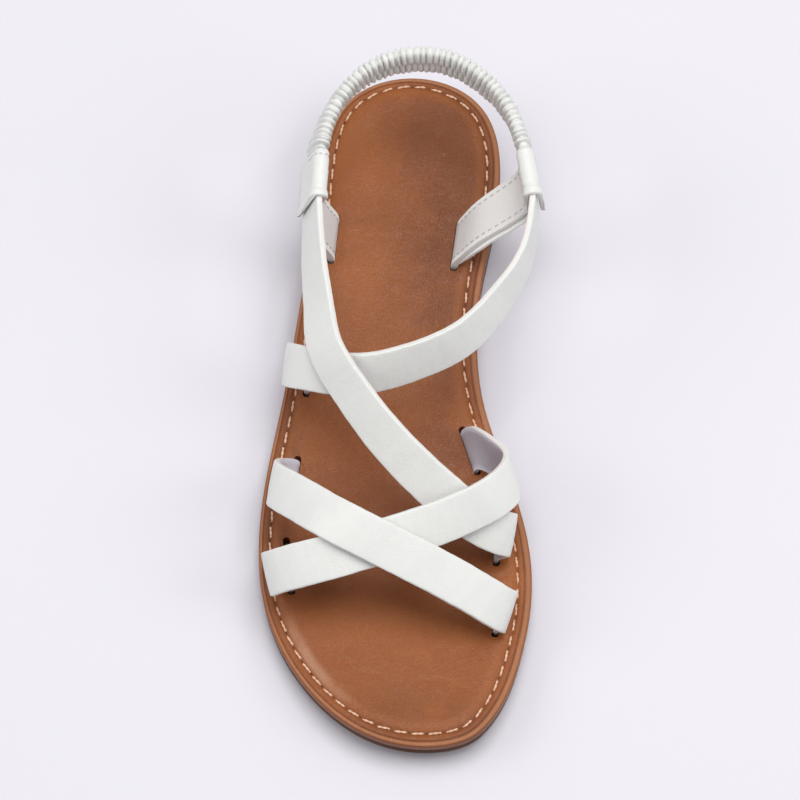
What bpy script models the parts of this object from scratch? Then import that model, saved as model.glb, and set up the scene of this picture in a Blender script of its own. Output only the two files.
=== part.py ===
"""Cross strap sandal, right shoe, as an assembly of separate solids.

Metres, +Z up, toe towards -Y, inner (arch) side towards +X. The origin is on
the floor under the middle of the heel seat. Each solid is one maker's piece.
"""
import math

import bpy
import bmesh
import numpy as np
from mathutils import Matrix

# Whole shoe
SOLE_LENGTH = 0.2441
BALL_WIDTH = 0.0914
HEEL_HEIGHT = 0.0175
INSTEP_RISE = 0.040
HEEL_BACK = 0.033
PART_GAP = 0.0003

# Sole
BED_THICKNESS = 0.0042
BED_PILLOW = 0.0008
RIM_WIDTH = 0.0042
OUTLINE_STATIONS = 40
OUTLINE_FINENESS = 18
GROOVE_WIDTH = 0.0016
GROOVE_DEPTH = 0.0009
GROOVE_REACH = 0.74

# Straps
STRAP_WIDTH = 0.0148
STRAP_THICKNESS = 0.0020
EDGE_ROUND = 0.0006
STRAP_ROWS = 30
CROSSING_BITE = 0.0003
CROSSING_REACH = 0.22
ROOT_CLEARANCE = 0.0007
ROOT_DROP = 0.0011
SLOT_END_CLEARANCE = 0.0012
SLOT_SIDE_CLEARANCE = 0.0005
TONGUE_LENGTH = 0.0070
TONGUE_WIDTH = 0.0085

# Quarters, sleeves and the gathered heel strap
QUARTER_WIDTH = 0.0160
QUARTER_TOP_WIDTH = 0.0110
QUARTER_THICKNESS = 0.0024
QUARTER_ENTRY = 0.0028
QUARTER_PLACE = 0.60
QUARTER_ROWS = 13
SLEEVE_LENGTH = 0.0172
SLEEVE_LIFT = 0.0008
SLEEVE_WALL = 0.0015
SLEEVE_CORNER = 0.0024
RUCHE_COUNT = 50
RUCHE_HEIGHT = 0.0125
RUCHE_THICKNESS = 0.0044
RUCHE_DEPTH = 0.0007
CORE_LENGTH = 0.0055
CORE_WIDTH = 0.0085
CORE_THICKNESS = 0.0020

# Sole outline: outer and inner edge as shares of the ball width, at even
# turns of a half circle of stations from the heel to the toe.
OUTLINE = [
    (0.000, 0.000),
    (-0.135, 0.133),
    (-0.245, 0.245),
    (-0.310, 0.312),
    (-0.340, 0.332),
    (-0.360, 0.310),
    (-0.400, 0.265),
    (-0.440, 0.242),
    (-0.485, 0.270),
    (-0.535, 0.355),
    (-0.560, 0.423),
    (-0.543, 0.435),
    (-0.475, 0.402),
    (-0.370, 0.350),
    (-0.245, 0.280),
    (-0.105, 0.190),
    (0.050, 0.050),
]

# Height of the rim and of the underside: share of the length from the heel,
# then both heights as shares of the heel height.
PROFILE = [
    (0.00, 1.000, 0.045),
    (0.03, 0.997, 0.000),
    (0.12, 0.975, 0.000),
    (0.27, 0.890, 0.000),
    (0.32, 0.840, 0.115),
    (0.42, 0.718, 0.125),
    (0.50, 0.615, 0.100),
    (0.56, 0.556, 0.000),
    (0.66, 0.500, 0.000),
    (0.77, 0.488, 0.000),
    (0.84, 0.525, 0.050),
    (0.92, 0.618, 0.160),
    (1.00, 0.770, 0.320),
]

# Footbed section from the middle of the underside round the rim: inset in
# rim widths, height in footbed thicknesses below the rim's top.
BED_SECTION = [
    (3.60, -1.00),
    (0.16, -1.00),
    (0.00, -0.86),
    (0.00, -0.36),
    (0.13, -0.10),
    (0.42, 0.00),
    (0.78, -0.03),
    (1.00, -0.12),
]

# The padded middle inside the stitch line: inset in rim widths, height in
# pillow heights above the rim's top.
PILLOW_SECTION = [
    (1.36, 0.30),
    (2.10, 1.00),
    (3.60, 0.80),
]

# Outsole section the same way: inset in rim widths, height as a share of the
# outsole thickness.
OUTSOLE_SECTION = [
    (3.60, 0.00),
    (0.36, 0.00),
    (0.06, 0.12),
    (0.06, 0.50),
    (0.16, 0.56),
    (0.06, 0.62),
    (0.06, 0.84),
    (0.26, 0.92),
    (0.26, 1.00),
    (3.60, 1.00),
]

# Tread grooves: share of the length from the heel.
GROOVES = [0.045, 0.075, 0.105, 0.165, 0.195, 0.225, 0.590, 0.620, 0.650,
           0.680, 0.740, 0.770]

# Straps. Columns: middle of the strap as a share of the length from the heel,
# its side as a share of the ball width, its height as a share of the instep
# rise above the footbed, then the way across the strap from its rear edge to
# its front edge: heading from the toe towards the inner side, and dip below
# level, in degrees.
STRAP_A = [
    (0.268, -0.365, 0.84, -100, 70),
    (0.420, -0.335, 0.85, -86, 56),
    (0.517, -0.245, 0.83, -71, 50),
    (0.601, -0.090, 0.775, -57, 41),
    (0.670, 0.105, 0.645, -47, 30),
    (0.703, 0.250, 0.475, -34, 23),
    (0.709, 0.325, 0.355, -20, 22),
    (0.704, 0.360, 0.23, -12, 19),
    (0.699, 0.355, 0.145, -8, 12),
    (0.695, 0.312, 0.00, -3, 0),
]
STRAP_B = [
    (0.266, 0.450, 0.84, 96, 83),
    (0.351, 0.410, 0.855, 80, 78),
    (0.408, 0.320, 0.86, 64, 69),
    (0.457, 0.205, 0.86, 44, 63),
    (0.497, -0.005, 0.855, 25, 58),
    (0.510, -0.180, 0.81, 11, 49),
    (0.503, -0.290, 0.73, 2, 40),
    (0.487, -0.388, 0.60, -4, 33),
    (0.471, -0.447, 0.435, -7, 28),
    (0.462, -0.458, 0.33, -8, 24),
    (0.452, -0.440, 0.155, -7, 16),
    (0.448, -0.383, 0.00, -5, 3),
]
STRAP_C = [
    (0.565, 0.213, 0.00, 18, 2),
    (0.567, 0.232, 0.095, 15, 20),
    (0.584, 0.286, 0.205, 12, 48),
    (0.614, 0.351, 0.365, 19, 52),
    (0.629, 0.361, 0.445, 24, 49),
    (0.658, 0.325, 0.565, 27, 45),
    (0.706, 0.148, 0.655, 23, 39),
    (0.746, -0.120, 0.705, 18, 28),
    (0.766, -0.342, 0.61, 14, 20),
    (0.769, -0.463, 0.46, 13, 18),
    (0.766, -0.511, 0.32, 13, 20),
    (0.756, -0.517, 0.17, 13, 20),
    (0.748, -0.500, 0.09, 12, 11),
    (0.738, -0.447, 0.00, 6, -3),
]
STRAP_D = [
    (0.609, -0.433, 0.00, -8, 0),
    (0.614, -0.475, 0.09, -5, 18),
    (0.627, -0.503, 0.25, -10, 31),
    (0.638, -0.503, 0.36, -15, 31),
    (0.657, -0.465, 0.50, -21, 29),
    (0.707, -0.300, 0.715, -28, 25),
    (0.745, -0.135, 0.755, -29, 21),
    (0.782, 0.100, 0.575, -28, 13),
    (0.808, 0.285, 0.315, -24, 10),
    (0.812, 0.334, 0.20, -20, 14),
    (0.808, 0.351, 0.10, -18, 15),
    (0.804, 0.346, 0.045, -17, 9),
    (0.801, 0.325, 0.00, -16, -2),
]

# Quarters: the same columns, from the slot up to just below the sleeve.
QUARTER_MEDIAL = [
    (0.263, 0.168, 0.02, -8, 3),
    (0.260, 0.192, 0.105, -6, 3),
    (0.250, 0.263, 0.315, -1, 3),
    (0.238, 0.350, 0.52, 5, 3),
]
QUARTER_LATERAL = [
    (0.252, -0.293, 0.02, -6, 3),
    (0.251, -0.306, 0.09, -6, 3),
    (0.245, -0.345, 0.30, -5, 3),
    (0.236, -0.381, 0.51, -4, 3),
]

# Heel strap: middle of the band in the same first three columns, then its
# inward lean in degrees.
HEEL_RING = [
    (0.195, -0.353, 0.84, 20),
    (0.169, -0.337, 0.84, 18),
    (0.138, -0.307, 0.85, 15),
    (0.109, -0.260, 0.86, 11),
    (0.081, -0.190, 0.875, 7),
    (0.062, -0.100, 0.89, 3),
    (0.053, 0.033, 0.90, 0),
    (0.060, 0.150, 0.89, 1),
    (0.080, 0.240, 0.875, 2),
    (0.114, 0.330, 0.86, 4),
    (0.150, 0.382, 0.85, 6),
    (0.195, 0.419, 0.84, 7),
]

# Gathered band section: outwards in band thicknesses, up in band heights.
RUCHE_SECTION = [
    (0.50, -0.30),
    (0.50, 0.26),
    (0.26, 0.50),
    (-0.24, 0.50),
    (-0.50, 0.28),
    (-0.48, 0.00),
    (-0.24, -0.05),
    (-0.42, -0.14),
    (-0.40, -0.40),
    (-0.14, -0.50),
    (0.28, -0.50),
]

COLOURS = {
    "outsole": (0.18, 0.115, 0.085, 1.0),
    "footbed": (0.36, 0.125, 0.048, 1.0),
    "upper_straps": (0.76, 0.75, 0.71, 1.0),
    "quarter_medial": (0.72, 0.70, 0.66, 1.0),
    "quarter_lateral": (0.72, 0.70, 0.66, 1.0),
    "sleeve_medial": (0.76, 0.75, 0.71, 1.0),
    "sleeve_lateral": (0.76, 0.75, 0.71, 1.0),
    "heel_strap": (0.74, 0.73, 0.69, 1.0),
}
ROUGHNESS = {"outsole": 0.7, "footbed": 0.5}


def unit(v):
    return v / np.linalg.norm(v, axis=-1, keepdims=True)


def spline(knots, values, at):
    """Natural cubic spline through the table rows, for one or more columns."""
    knots = np.asarray(knots, float)
    values = np.asarray(values, float)
    at = np.asarray(at, float)
    count = len(knots)
    step = np.diff(knots)
    matrix = np.eye(count)
    right = np.zeros(values.shape)
    for i in range(1, count - 1):
        matrix[i, i - 1] = step[i - 1]
        matrix[i, i] = 2.0 * (step[i - 1] + step[i])
        matrix[i, i + 1] = step[i]
        slope_after = (values[i + 1] - values[i]) / step[i]
        slope_before = (values[i] - values[i - 1]) / step[i - 1]
        right[i] = 6.0 * (slope_after - slope_before)
    bend = np.linalg.solve(matrix, right)
    k = np.clip(np.searchsorted(knots, at) - 1, 0, count - 2)
    t = at - knots[k]
    h = step[k]
    if values.ndim > 1:
        t = t[..., None]
        h = h[..., None]
    slope = (values[k + 1] - values[k]) / h
    slope = slope - h * (2.0 * bend[k] + bend[k + 1]) / 6.0
    curve = bend[k] / 2.0 + t * (bend[k + 1] - bend[k]) / (6.0 * h)
    return values[k] + t * (slope + t * curve)


def level(column, y):
    """Height from the profile table at a place along the shoe."""
    table = np.array(PROFILE)
    share = np.clip((HEEL_BACK - np.asarray(y, float)) / SOLE_LENGTH, 0.0, 1.0)
    if column == 1:
        return HEEL_HEIGHT * spline(table[:, 0], table[:, 1], share)
    return HEEL_HEIGHT * np.interp(share, table[:, 0], table[:, 2])


def rim_top(y):
    return level(1, y)


def bed_bottom(y):
    return rim_top(y) - BED_THICKNESS


def edge_at(turn):
    """Outer and inner edge of the sole at a turn of the half circle."""
    even = np.linspace(0.0, 1.0, len(OUTLINE))
    return spline(even, np.array(OUTLINE), turn) * BALL_WIDTH


def outline_loop(inset):
    """Closed loop round the sole, moved inwards by the inset."""
    fine = OUTLINE_FINENESS * 2 * OUTLINE_STATIONS
    angle = 2.0 * math.pi * np.arange(fine) / fine
    outer_half = angle <= math.pi
    edges = edge_at(np.where(outer_half, angle, 2.0 * math.pi - angle)
                    / math.pi)
    x = np.where(outer_half, edges[:, 0], edges[:, 1])
    y = HEEL_BACK - SOLE_LENGTH * (1.0 - np.cos(angle)) / 2.0
    loop = np.stack([x, y], 1)
    run = unit(np.roll(loop, -4, 0) - np.roll(loop, 4, 0))
    inward = np.stack([-run[:, 1], run[:, 0]], 1)
    return (loop + inward * inset)[::OUTLINE_FINENESS]


def new_object(name, points, faces, collection):
    mesh = bpy.data.meshes.new(name)
    mesh.from_pydata([tuple(map(float, p)) for p in points], [], faces)
    tidy = bmesh.new()
    tidy.from_mesh(mesh)
    bmesh.ops.recalc_face_normals(tidy, faces=tidy.faces)
    tidy.to_mesh(mesh)
    tidy.free()
    mesh.shade_smooth()
    mesh.set_sharp_from_angle(angle=math.radians(35.0))
    item = bpy.data.objects.new(name, mesh)
    collection.objects.link(item)
    return item


def ring_faces(rings, size, closed):
    """Quads between neighbouring rings of equal size."""
    faces = []
    for r in range(rings - 1):
        a = r * size
        b = a + size
        for k in range(size if closed else size - 1):
            n = (k + 1) % size
            faces.append((a + k, a + n, b + n, b + k))
    return faces


def sole_solid(name, rings, collection):
    """Solid from rings round the sole, with strips across its two middles."""
    size = 2 * OUTLINE_STATIONS
    faces = ring_faces(len(rings), size, True)
    last = (len(rings) - 1) * size
    half = OUTLINE_STATIONS
    for base, flip in ((0, True), (last, False)):
        strip = [(0, 1, size - 1), (half - 1, half, half + 1)]
        for k in range(1, half - 1):
            strip.append((k, k + 1, size - k - 1, size - k))
        for face in strip:
            face = tuple(base + i for i in face)
            faces.append(face[::-1] if flip else face)
    return new_object(name, np.vstack(rings), faces, collection)


def footbed_rings():
    rings = []
    for section, unit_height in ((BED_SECTION, BED_THICKNESS),
                                 (PILLOW_SECTION, BED_PILLOW)):
        for inset, height in section:
            loop = outline_loop(inset * RIM_WIDTH)
            z = rim_top(loop[:, 1]) + height * unit_height
            rings.append(np.column_stack([loop, z]))
    return rings


def outsole_rings():
    rings = []
    for inset, height in OUTSOLE_SECTION:
        loop = outline_loop(inset * RIM_WIDTH)
        under = level(2, loop[:, 1])
        top = bed_bottom(loop[:, 1]) - PART_GAP
        rings.append(np.column_stack([loop, under + height * (top - under)]))
    return rings


def places(table):
    """Points of a strap table: length share, side share, height share."""
    rows = np.array(table, float)
    y = HEEL_BACK - rows[:, 0] * SOLE_LENGTH
    root = rim_top(y) + BED_PILLOW + ROOT_CLEARANCE
    return np.stack([rows[:, 1] * BALL_WIDTH, y,
                     root + rows[:, 2] * INSTEP_RISE], 1)


def headings(table):
    """Directions across a strap from its heading and dip columns."""
    rows = np.radians(np.array(table, float)[:, 3:5])
    level_part = np.cos(rows[:, 1])
    return np.stack([level_part * np.sin(rows[:, 0]),
                     -level_part * np.cos(rows[:, 0]),
                     -np.sin(rows[:, 1])], 1)


def even_rows(middle, others, count):
    """Resample points, and the columns that go with them, at even steps."""
    chord = np.linalg.norm(np.diff(middle, axis=0), axis=1)
    chord = np.concatenate([[0.0], np.cumsum(chord)])
    at = np.linspace(0.0, chord[-1], count)
    return spline(chord, middle, at), spline(chord, others, at)


def into_slot(middle, across, at_end):
    """Add two upright rows that take a strap end down through the footbed."""
    k = -1 if at_end else 0
    foot = middle[k]
    flat = across[k] * np.array([1.0, 1.0, 0.0])
    top = foot - np.array([0.0, 0.0, ROOT_DROP])
    reach = foot[1] + np.array([-0.5, 0.0, 0.5]) * QUARTER_WIDTH
    low = np.array([foot[0], foot[1], bed_bottom(reach).max() + PART_GAP])
    if at_end:
        return np.vstack([middle, top, low]), np.vstack([across, flat, flat])
    return np.vstack([low, top, middle]), np.vstack([flat, flat, across])


def strap_grid(middle, across, widths):
    """Rear edge, middle and front edge points of a strap, with outwards."""
    run = unit(np.gradient(middle, axis=0))
    half = unit(across) * widths[:, None] / 2.0
    lanes = np.stack([middle - half, middle, middle + half], 1)
    return lanes, unit(np.cross(run, half))


def rest_on(upper, lower, lower_out):
    """Lift an upper strap where it would pass through the one below it."""
    reach = STRAP_WIDTH * CROSSING_REACH
    clear = STRAP_THICKNESS - CROSSING_BITE
    share = np.linspace(0.0, 1.0, 9)[None, :, None]
    dense = lower[:, :1] * (1.0 - share) + lower[:, 2:] * share
    normal = np.repeat(lower_out[:, None], 9, 1).reshape(-1, 3)
    dense = dense.reshape(-1, 3)
    moved = upper.copy()
    for row in range(upper.shape[0]):
        for lane in range(upper.shape[1]):
            away = upper[row, lane] - dense
            near = int(np.argmin(np.sum(away * away, 1)))
            n = normal[near] * (1.0 if normal[near, 2] > 0.0 else -1.0)
            lift = float(away[near] @ n)
            side = float(np.linalg.norm(away[near] - lift * n))
            short = clear - lift
            if short > 0.0 and side < reach and lift > -3.0 * clear:
                moved[row, lane] += n * short
    return moved


def ribbon_solid(name, lanes, outward, thickness, collection):
    """Strap solid with rounded long edges from its three point lanes."""
    half = thickness / 2.0
    rear = lanes[:, 0]
    mid = lanes[:, 1]
    front = lanes[:, 2]
    across = unit(front - rear)
    edge = min(EDGE_ROUND, half * 0.9)
    section = [rear + across * edge + outward * half,
               mid + outward * half,
               front - across * edge + outward * half,
               front + outward * (half - edge),
               front - outward * (half - edge),
               front - across * edge - outward * half,
               mid - outward * half,
               rear + across * edge - outward * half,
               rear - outward * (half - edge),
               rear + outward * (half - edge)]
    points = np.stack(section, 1)
    rows, size = points.shape[:2]
    faces = ring_faces(rows, size, True)
    faces.append(tuple(range(size))[::-1])
    faces.append(tuple((rows - 1) * size + k for k in range(size)))
    return new_object(name, points.reshape(-1, 3), faces, collection)


class Sleeve:
    """Where a sleeve sits: its mouth, the way back along it and its up."""

    def __init__(self, strap, ring_end):
        self.mouth = places(strap)[0]
        self.back = unit(ring_end - self.mouth)
        up = -headings(strap)[0]
        self.up = unit(up - self.back * float(up @ self.back))

    def place(self, depth, height):
        """Point on the middle plane, from the mouth and the strap middle."""
        return self.mouth + self.back * depth + self.up * height


def strap_lanes(table, sleeve):
    """Lanes of one strap, from a sleeve or a slot to its last slot."""
    middle, across = even_rows(places(table), headings(table), STRAP_ROWS)
    widths = np.full(STRAP_ROWS, STRAP_WIDTH)
    if sleeve is None:
        middle, across = into_slot(middle, across, False)
        widths = np.full(len(middle), STRAP_WIDTH)
    else:
        taper = ((1.00, TONGUE_WIDTH), (0.62, TONGUE_WIDTH),
                 (0.34, STRAP_WIDTH * 0.84))
        inside = [sleeve.place(TONGUE_LENGTH * depth,
                               (STRAP_WIDTH - width) / 2.0)
                  for depth, width in taper]
        middle = np.vstack([inside, middle])
        across = np.vstack([np.repeat(-sleeve.up[None], 3, 0), across])
        widths = np.concatenate([[width for _, width in taper], widths])
    middle, across = into_slot(middle, across, True)
    widths = np.concatenate([widths, [STRAP_WIDTH, STRAP_WIDTH]])
    return strap_grid(middle, across, widths)


def quarter_lanes(table, sleeve):
    """Lanes of a quarter, from its slot up between the sleeve walls."""
    depth = PART_GAP + SLEEVE_LENGTH * QUARTER_PLACE
    foot = -STRAP_WIDTH / 2.0
    tops = [sleeve.place(depth, foot - QUARTER_ENTRY),
            sleeve.place(depth, foot + QUARTER_ENTRY)]
    middle = np.vstack([places(table), tops])
    across = np.vstack([headings(table), -sleeve.back, -sleeve.back])
    middle, across = even_rows(middle, across, QUARTER_ROWS)
    share = np.concatenate([[0.0, 0.0], np.linspace(0.0, 1.0, QUARTER_ROWS)])
    width = QUARTER_WIDTH + (QUARTER_TOP_WIDTH - QUARTER_WIDTH) * share ** 2
    middle, across = into_slot(middle, across, False)
    return strap_grid(middle, across, width)


def sleeve_solid(name, sleeve, collection):
    """Folded sleeve: an upside down U run back along the heel strap."""
    side = unit(np.cross(sleeve.back, sleeve.up))
    inner = QUARTER_THICKNESS / 2.0 + PART_GAP
    half = inner + SLEEVE_WALL
    corner = min(SLEEVE_CORNER, half * 0.9)
    turn = np.linspace(0.0, math.pi / 2.0, 4)
    right = [(half - corner * (1.0 - math.cos(a)),
              -corner * (1.0 - math.sin(a))) for a in turn]
    left = [(-x, z) for x, z in right[::-1]]
    chamfer = SLEEVE_WALL * 0.5
    height = SLEEVE_WALL + PART_GAP + STRAP_WIDTH - SLEEVE_LIFT
    profile = [(half, -height)] + right + left
    profile += [(-half, -height), (-inner, -height),
                (-inner, -SLEEVE_WALL - chamfer),
                (-inner + chamfer, -SLEEVE_WALL),
                (inner - chamfer, -SLEEVE_WALL),
                (inner, -SLEEVE_WALL - chamfer), (inner, -height)]
    profile = np.array(profile)
    top = STRAP_WIDTH / 2.0 + PART_GAP + SLEEVE_WALL
    points = []
    for share in (0.0, 0.35, 0.7, 1.0):
        base = sleeve.place(PART_GAP + SLEEVE_LENGTH * share, top)
        points.append(base + profile[:, :1] * side
                      + profile[:, 1:] * sleeve.up)
    size = len(profile)
    faces = ring_faces(4, size, True)
    faces.append(tuple(range(size))[::-1])
    faces.append(tuple(3 * size + k for k in range(size)))
    return new_object(name, np.vstack(points), faces, collection)


def ring_path():
    """Middle, outward and up directions along the gathered heel strap."""
    lean = np.radians(np.array(HEEL_RING, float)[:, 3:4])
    middle, lean = even_rows(places(HEEL_RING), lean, 2 * RUCHE_COUNT + 1)
    run = unit(np.gradient(middle, axis=0))
    flat = unit(run * np.array([1.0, 1.0, 0.0]))
    outward = np.stack([-flat[:, 1], flat[:, 0], 0.0 * flat[:, 0]], 1)
    upright = np.array([0.0, 0.0, 1.0])
    up = upright * np.cos(lean) - outward * np.sin(lean)
    up = unit(up - run * np.sum(up * run, 1, keepdims=True))
    return middle, unit(np.cross(up, run)), up


def heel_strap_solid(name, lateral, medial, collection):
    """Gathered band with a plain narrow core at each end."""
    middle, outward, up = ring_path()
    wave = (np.arange(len(middle)) % 2)[:, None]
    thick = RUCHE_THICKNESS - 2.0 * RUCHE_DEPTH * (1.0 - wave)
    tall = RUCHE_HEIGHT - 1.6 * RUCHE_DEPTH * (1.0 - wave)
    section = np.array(RUCHE_SECTION)
    band = (middle[:, None]
            + outward[:, None] * (section[:, 0] * thick)[..., None]
            + up[:, None] * (section[:, 1] * tall)[..., None])
    core = section * np.array([CORE_THICKNESS, CORE_WIDTH])
    height = (STRAP_WIDTH - CORE_WIDTH) / 2.0
    rows = []
    for sleeve, run in ((lateral, 1.0), (medial, -1.0)):
        side = unit(np.cross(sleeve.up, sleeve.back * run))
        for depth in (CORE_LENGTH, 0.0):
            place = sleeve.place(PART_GAP + SLEEVE_LENGTH - depth, height)
            rows.append(place + core[:, :1] * side + core[:, 1:] * sleeve.up)
    points = np.concatenate([[rows[0], rows[1]], band, [rows[3], rows[2]]])
    count, size = points.shape[:2]
    faces = ring_faces(count, size, True)
    faces.append(tuple(range(size))[::-1])
    faces.append(tuple((count - 1) * size + k for k in range(size)))
    return new_object(name, points.reshape(-1, 3), faces, collection)


def add_block(tidy, centre, heading, size):
    """Add one block, turned about Z, to a cutter under construction."""
    place = (Matrix.Translation(centre) @ Matrix.Rotation(heading, 4, "Z")
             @ Matrix.Diagonal((*size, 1.0)))
    bmesh.ops.create_cube(tidy, size=1.0, matrix=place)


def cutter(name, blocks, collection):
    """Cutter object made of separate blocks."""
    tidy = bmesh.new()
    for block in blocks:
        add_block(tidy, *block)
    mesh = bpy.data.meshes.new(name)
    tidy.to_mesh(mesh)
    tidy.free()
    item = bpy.data.objects.new(name, mesh)
    collection.objects.link(item)
    return item


def slot_block(table, thickness, width, row):
    """Upright block that cuts one strap slot through the footbed."""
    foot = places(table)[row]
    heading = math.radians(table[row][3])
    size = (thickness + 2.0 * SLOT_SIDE_CLEARANCE,
            width + 2.0 * SLOT_END_CLEARANCE, 4.0 * HEEL_HEIGHT)
    return foot, heading, size


def slot_blocks():
    strap = (STRAP_THICKNESS, STRAP_WIDTH)
    quarter = (QUARTER_THICKNESS, QUARTER_WIDTH)
    return [slot_block(STRAP_A, *strap, -1),
            slot_block(STRAP_B, *strap, -1),
            slot_block(STRAP_C, *strap, 0),
            slot_block(STRAP_C, *strap, -1),
            slot_block(STRAP_D, *strap, 0),
            slot_block(STRAP_D, *strap, -1),
            slot_block(QUARTER_MEDIAL, *quarter, 0),
            slot_block(QUARTER_LATERAL, *quarter, 0)]


def groove_blocks():
    """Shallow blocks across the tread, kept inside the outline."""
    blocks = []
    for share in GROOVES:
        turn = math.acos(1.0 - 2.0 * share) / math.pi
        outer, inner = (float(x) * GROOVE_REACH for x in edge_at(turn))
        centre = ((outer + inner) / 2.0, HEEL_BACK - share * SOLE_LENGTH, 0.0)
        size = (inner - outer, GROOVE_WIDTH, 2.0 * GROOVE_DEPTH)
        blocks.append((centre, 0.0, size))
    return blocks


def boolean(item, other, operation):
    change = item.modifiers.new(other.name, "BOOLEAN")
    change.operation = operation
    change.solver = "EXACT"
    change.object = other


def material_for(name):
    material = bpy.data.materials.new(name)
    material.use_nodes = True
    shader = material.node_tree.nodes["Principled BSDF"]
    shader.inputs["Base Color"].default_value = COLOURS[name]
    shader.inputs["Roughness"].default_value = ROUGHNESS.get(name, 0.6)
    material.diffuse_color = COLOURS[name]
    return material


def collections():
    parts = bpy.data.collections.new("cross_strap_sandal")
    cutters = bpy.data.collections.new("cutters")
    for item in (parts, cutters):
        bpy.context.scene.collection.children.link(item)
    cutters.hide_render = True
    return parts, cutters


def main():
    for item in list(bpy.data.objects):
        bpy.data.objects.remove(item, do_unlink=True)
    parts, cutters = collections()

    outsole = sole_solid("outsole", outsole_rings(), parts)
    boolean(outsole, cutter("grooves", groove_blocks(), cutters),
            "DIFFERENCE")
    footbed = sole_solid("footbed", footbed_rings(), parts)
    boolean(footbed, cutter("slots", slot_blocks(), cutters), "DIFFERENCE")

    ring = places(HEEL_RING)
    lateral = Sleeve(STRAP_A, ring[0])
    medial = Sleeve(STRAP_B, ring[-1])
    lanes_b, out_b = strap_lanes(STRAP_B, medial)
    lanes_a, out_a = strap_lanes(STRAP_A, lateral)
    lanes_a = rest_on(lanes_a, lanes_b, out_b)
    lanes_c, out_c = strap_lanes(STRAP_C, None)
    lanes_c = rest_on(lanes_c, lanes_a, out_a)
    lanes_d, out_d = strap_lanes(STRAP_D, None)
    lanes_d = rest_on(lanes_d, lanes_c, out_c)
    upper = ribbon_solid("upper_straps", lanes_a, out_a, STRAP_THICKNESS,
                         parts)
    for name, lanes, out in (("strap_b", lanes_b, out_b),
                             ("strap_c", lanes_c, out_c),
                             ("strap_d", lanes_d, out_d)):
        other = ribbon_solid(name, lanes, out, STRAP_THICKNESS, cutters)
        boolean(upper, other, "UNION")

    for name, table, sleeve in (
            ("quarter_medial", QUARTER_MEDIAL, medial),
            ("quarter_lateral", QUARTER_LATERAL, lateral)):
        lanes, out = quarter_lanes(table, sleeve)
        ribbon_solid(name, lanes, out, QUARTER_THICKNESS, parts)
    sleeve_solid("sleeve_medial", medial, parts)
    sleeve_solid("sleeve_lateral", lateral, parts)
    heel_strap_solid("heel_strap", lateral, medial, parts)

    for item in parts.objects:
        item.data.materials.append(material_for(item.name))
    for item in cutters.objects:
        item.hide_render = True
        item.display_type = "WIRE"


main()
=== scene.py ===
"""A white cross strap sandal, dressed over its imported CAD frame.

Metres, +Z up, toe towards -Y, arch side towards +X. One right shoe.
"""
import logging
import math
from dataclasses import dataclass, field
from enum import Enum
from typing import Optional, Sequence

import bmesh
import bpy
import numpy as np
from mathutils import Matrix, Vector


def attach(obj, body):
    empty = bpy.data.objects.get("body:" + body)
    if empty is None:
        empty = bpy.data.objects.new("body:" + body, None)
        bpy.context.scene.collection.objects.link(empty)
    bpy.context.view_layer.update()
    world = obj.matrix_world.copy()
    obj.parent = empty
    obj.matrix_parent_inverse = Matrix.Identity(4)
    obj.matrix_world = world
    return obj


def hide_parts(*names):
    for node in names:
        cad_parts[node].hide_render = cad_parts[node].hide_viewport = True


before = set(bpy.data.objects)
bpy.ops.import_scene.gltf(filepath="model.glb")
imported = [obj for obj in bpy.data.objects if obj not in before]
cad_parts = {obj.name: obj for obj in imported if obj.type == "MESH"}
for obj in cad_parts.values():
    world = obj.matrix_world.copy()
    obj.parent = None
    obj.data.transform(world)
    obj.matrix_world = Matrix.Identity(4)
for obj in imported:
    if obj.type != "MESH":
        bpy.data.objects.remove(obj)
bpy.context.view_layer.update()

Array = np.ndarray
Table = Sequence[Sequence[float]]
Colour = tuple[float, float, float, float]
Point = tuple[float, float, float]
LOG = logging.getLogger("cross_strap_sandal")


@dataclass(frozen=True)
class ShoeSizes:
    """The named sizes that every piece of the shoe follows, in metres.

    Attributes:
        length, ball, heel: of the sole, and its height at the heel.
        rise: height that the strap tables' height shares refer to.
        back: place of the heel's rear end.
        gap: room left between pieces that touch.
        bed, pillow: thickness of the footbed and of its padded middle.
        root: height of a strap's lowest table row over the padding.
        drop: how far its upright end starts below that row.
        strap_width, strap_thick: of the four straps.
        slot_side: room beside a strap in its slot.
        quarter_width, quarter_thick: of the two quarters.
        sleeve_length, sleeve_wall: of the two sleeves.
        sleeve_lift: how far a sleeve's ends stay above the strap's edge.
        ruche_height, ruche_thick: of the gathered band.
    """

    length: float = 0.2441
    ball: float = 0.0914
    heel: float = 0.0175
    rise: float = 0.040
    back: float = 0.033
    gap: float = 0.0003
    bed: float = 0.0042
    pillow: float = 0.0008
    root: float = 0.0007
    drop: float = 0.0011
    strap_width: float = 0.0148
    strap_thick: float = 0.0020
    slot_side: float = 0.0005
    quarter_width: float = 0.0160
    quarter_thick: float = 0.0024
    sleeve_length: float = 0.0172
    sleeve_wall: float = 0.0010
    sleeve_lift: float = 0.0008
    ruche_height: float = 0.0125
    ruche_thick: float = 0.0044


SIZES = ShoeSizes()
# Height of the foot's middle line, which every outer face looks away from.
FOOT_HEIGHT = 0.026
# Rows of points of a strap's end in its slot and in its sleeve.
SLOT_ROWS = 7
TONGUE_ROWS = 9

# Outer and inner edge of the sole as shares of the ball's width.
OUTLINE: Table = (
    (0.000, 0.000), (-0.135, 0.133), (-0.245, 0.245), (-0.310, 0.312),
    (-0.340, 0.332), (-0.360, 0.310), (-0.400, 0.265), (-0.440, 0.242),
    (-0.485, 0.270), (-0.535, 0.355), (-0.560, 0.423), (-0.543, 0.435),
    (-0.475, 0.402), (-0.370, 0.350), (-0.245, 0.280), (-0.105, 0.190),
    (0.050, 0.050))

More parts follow.
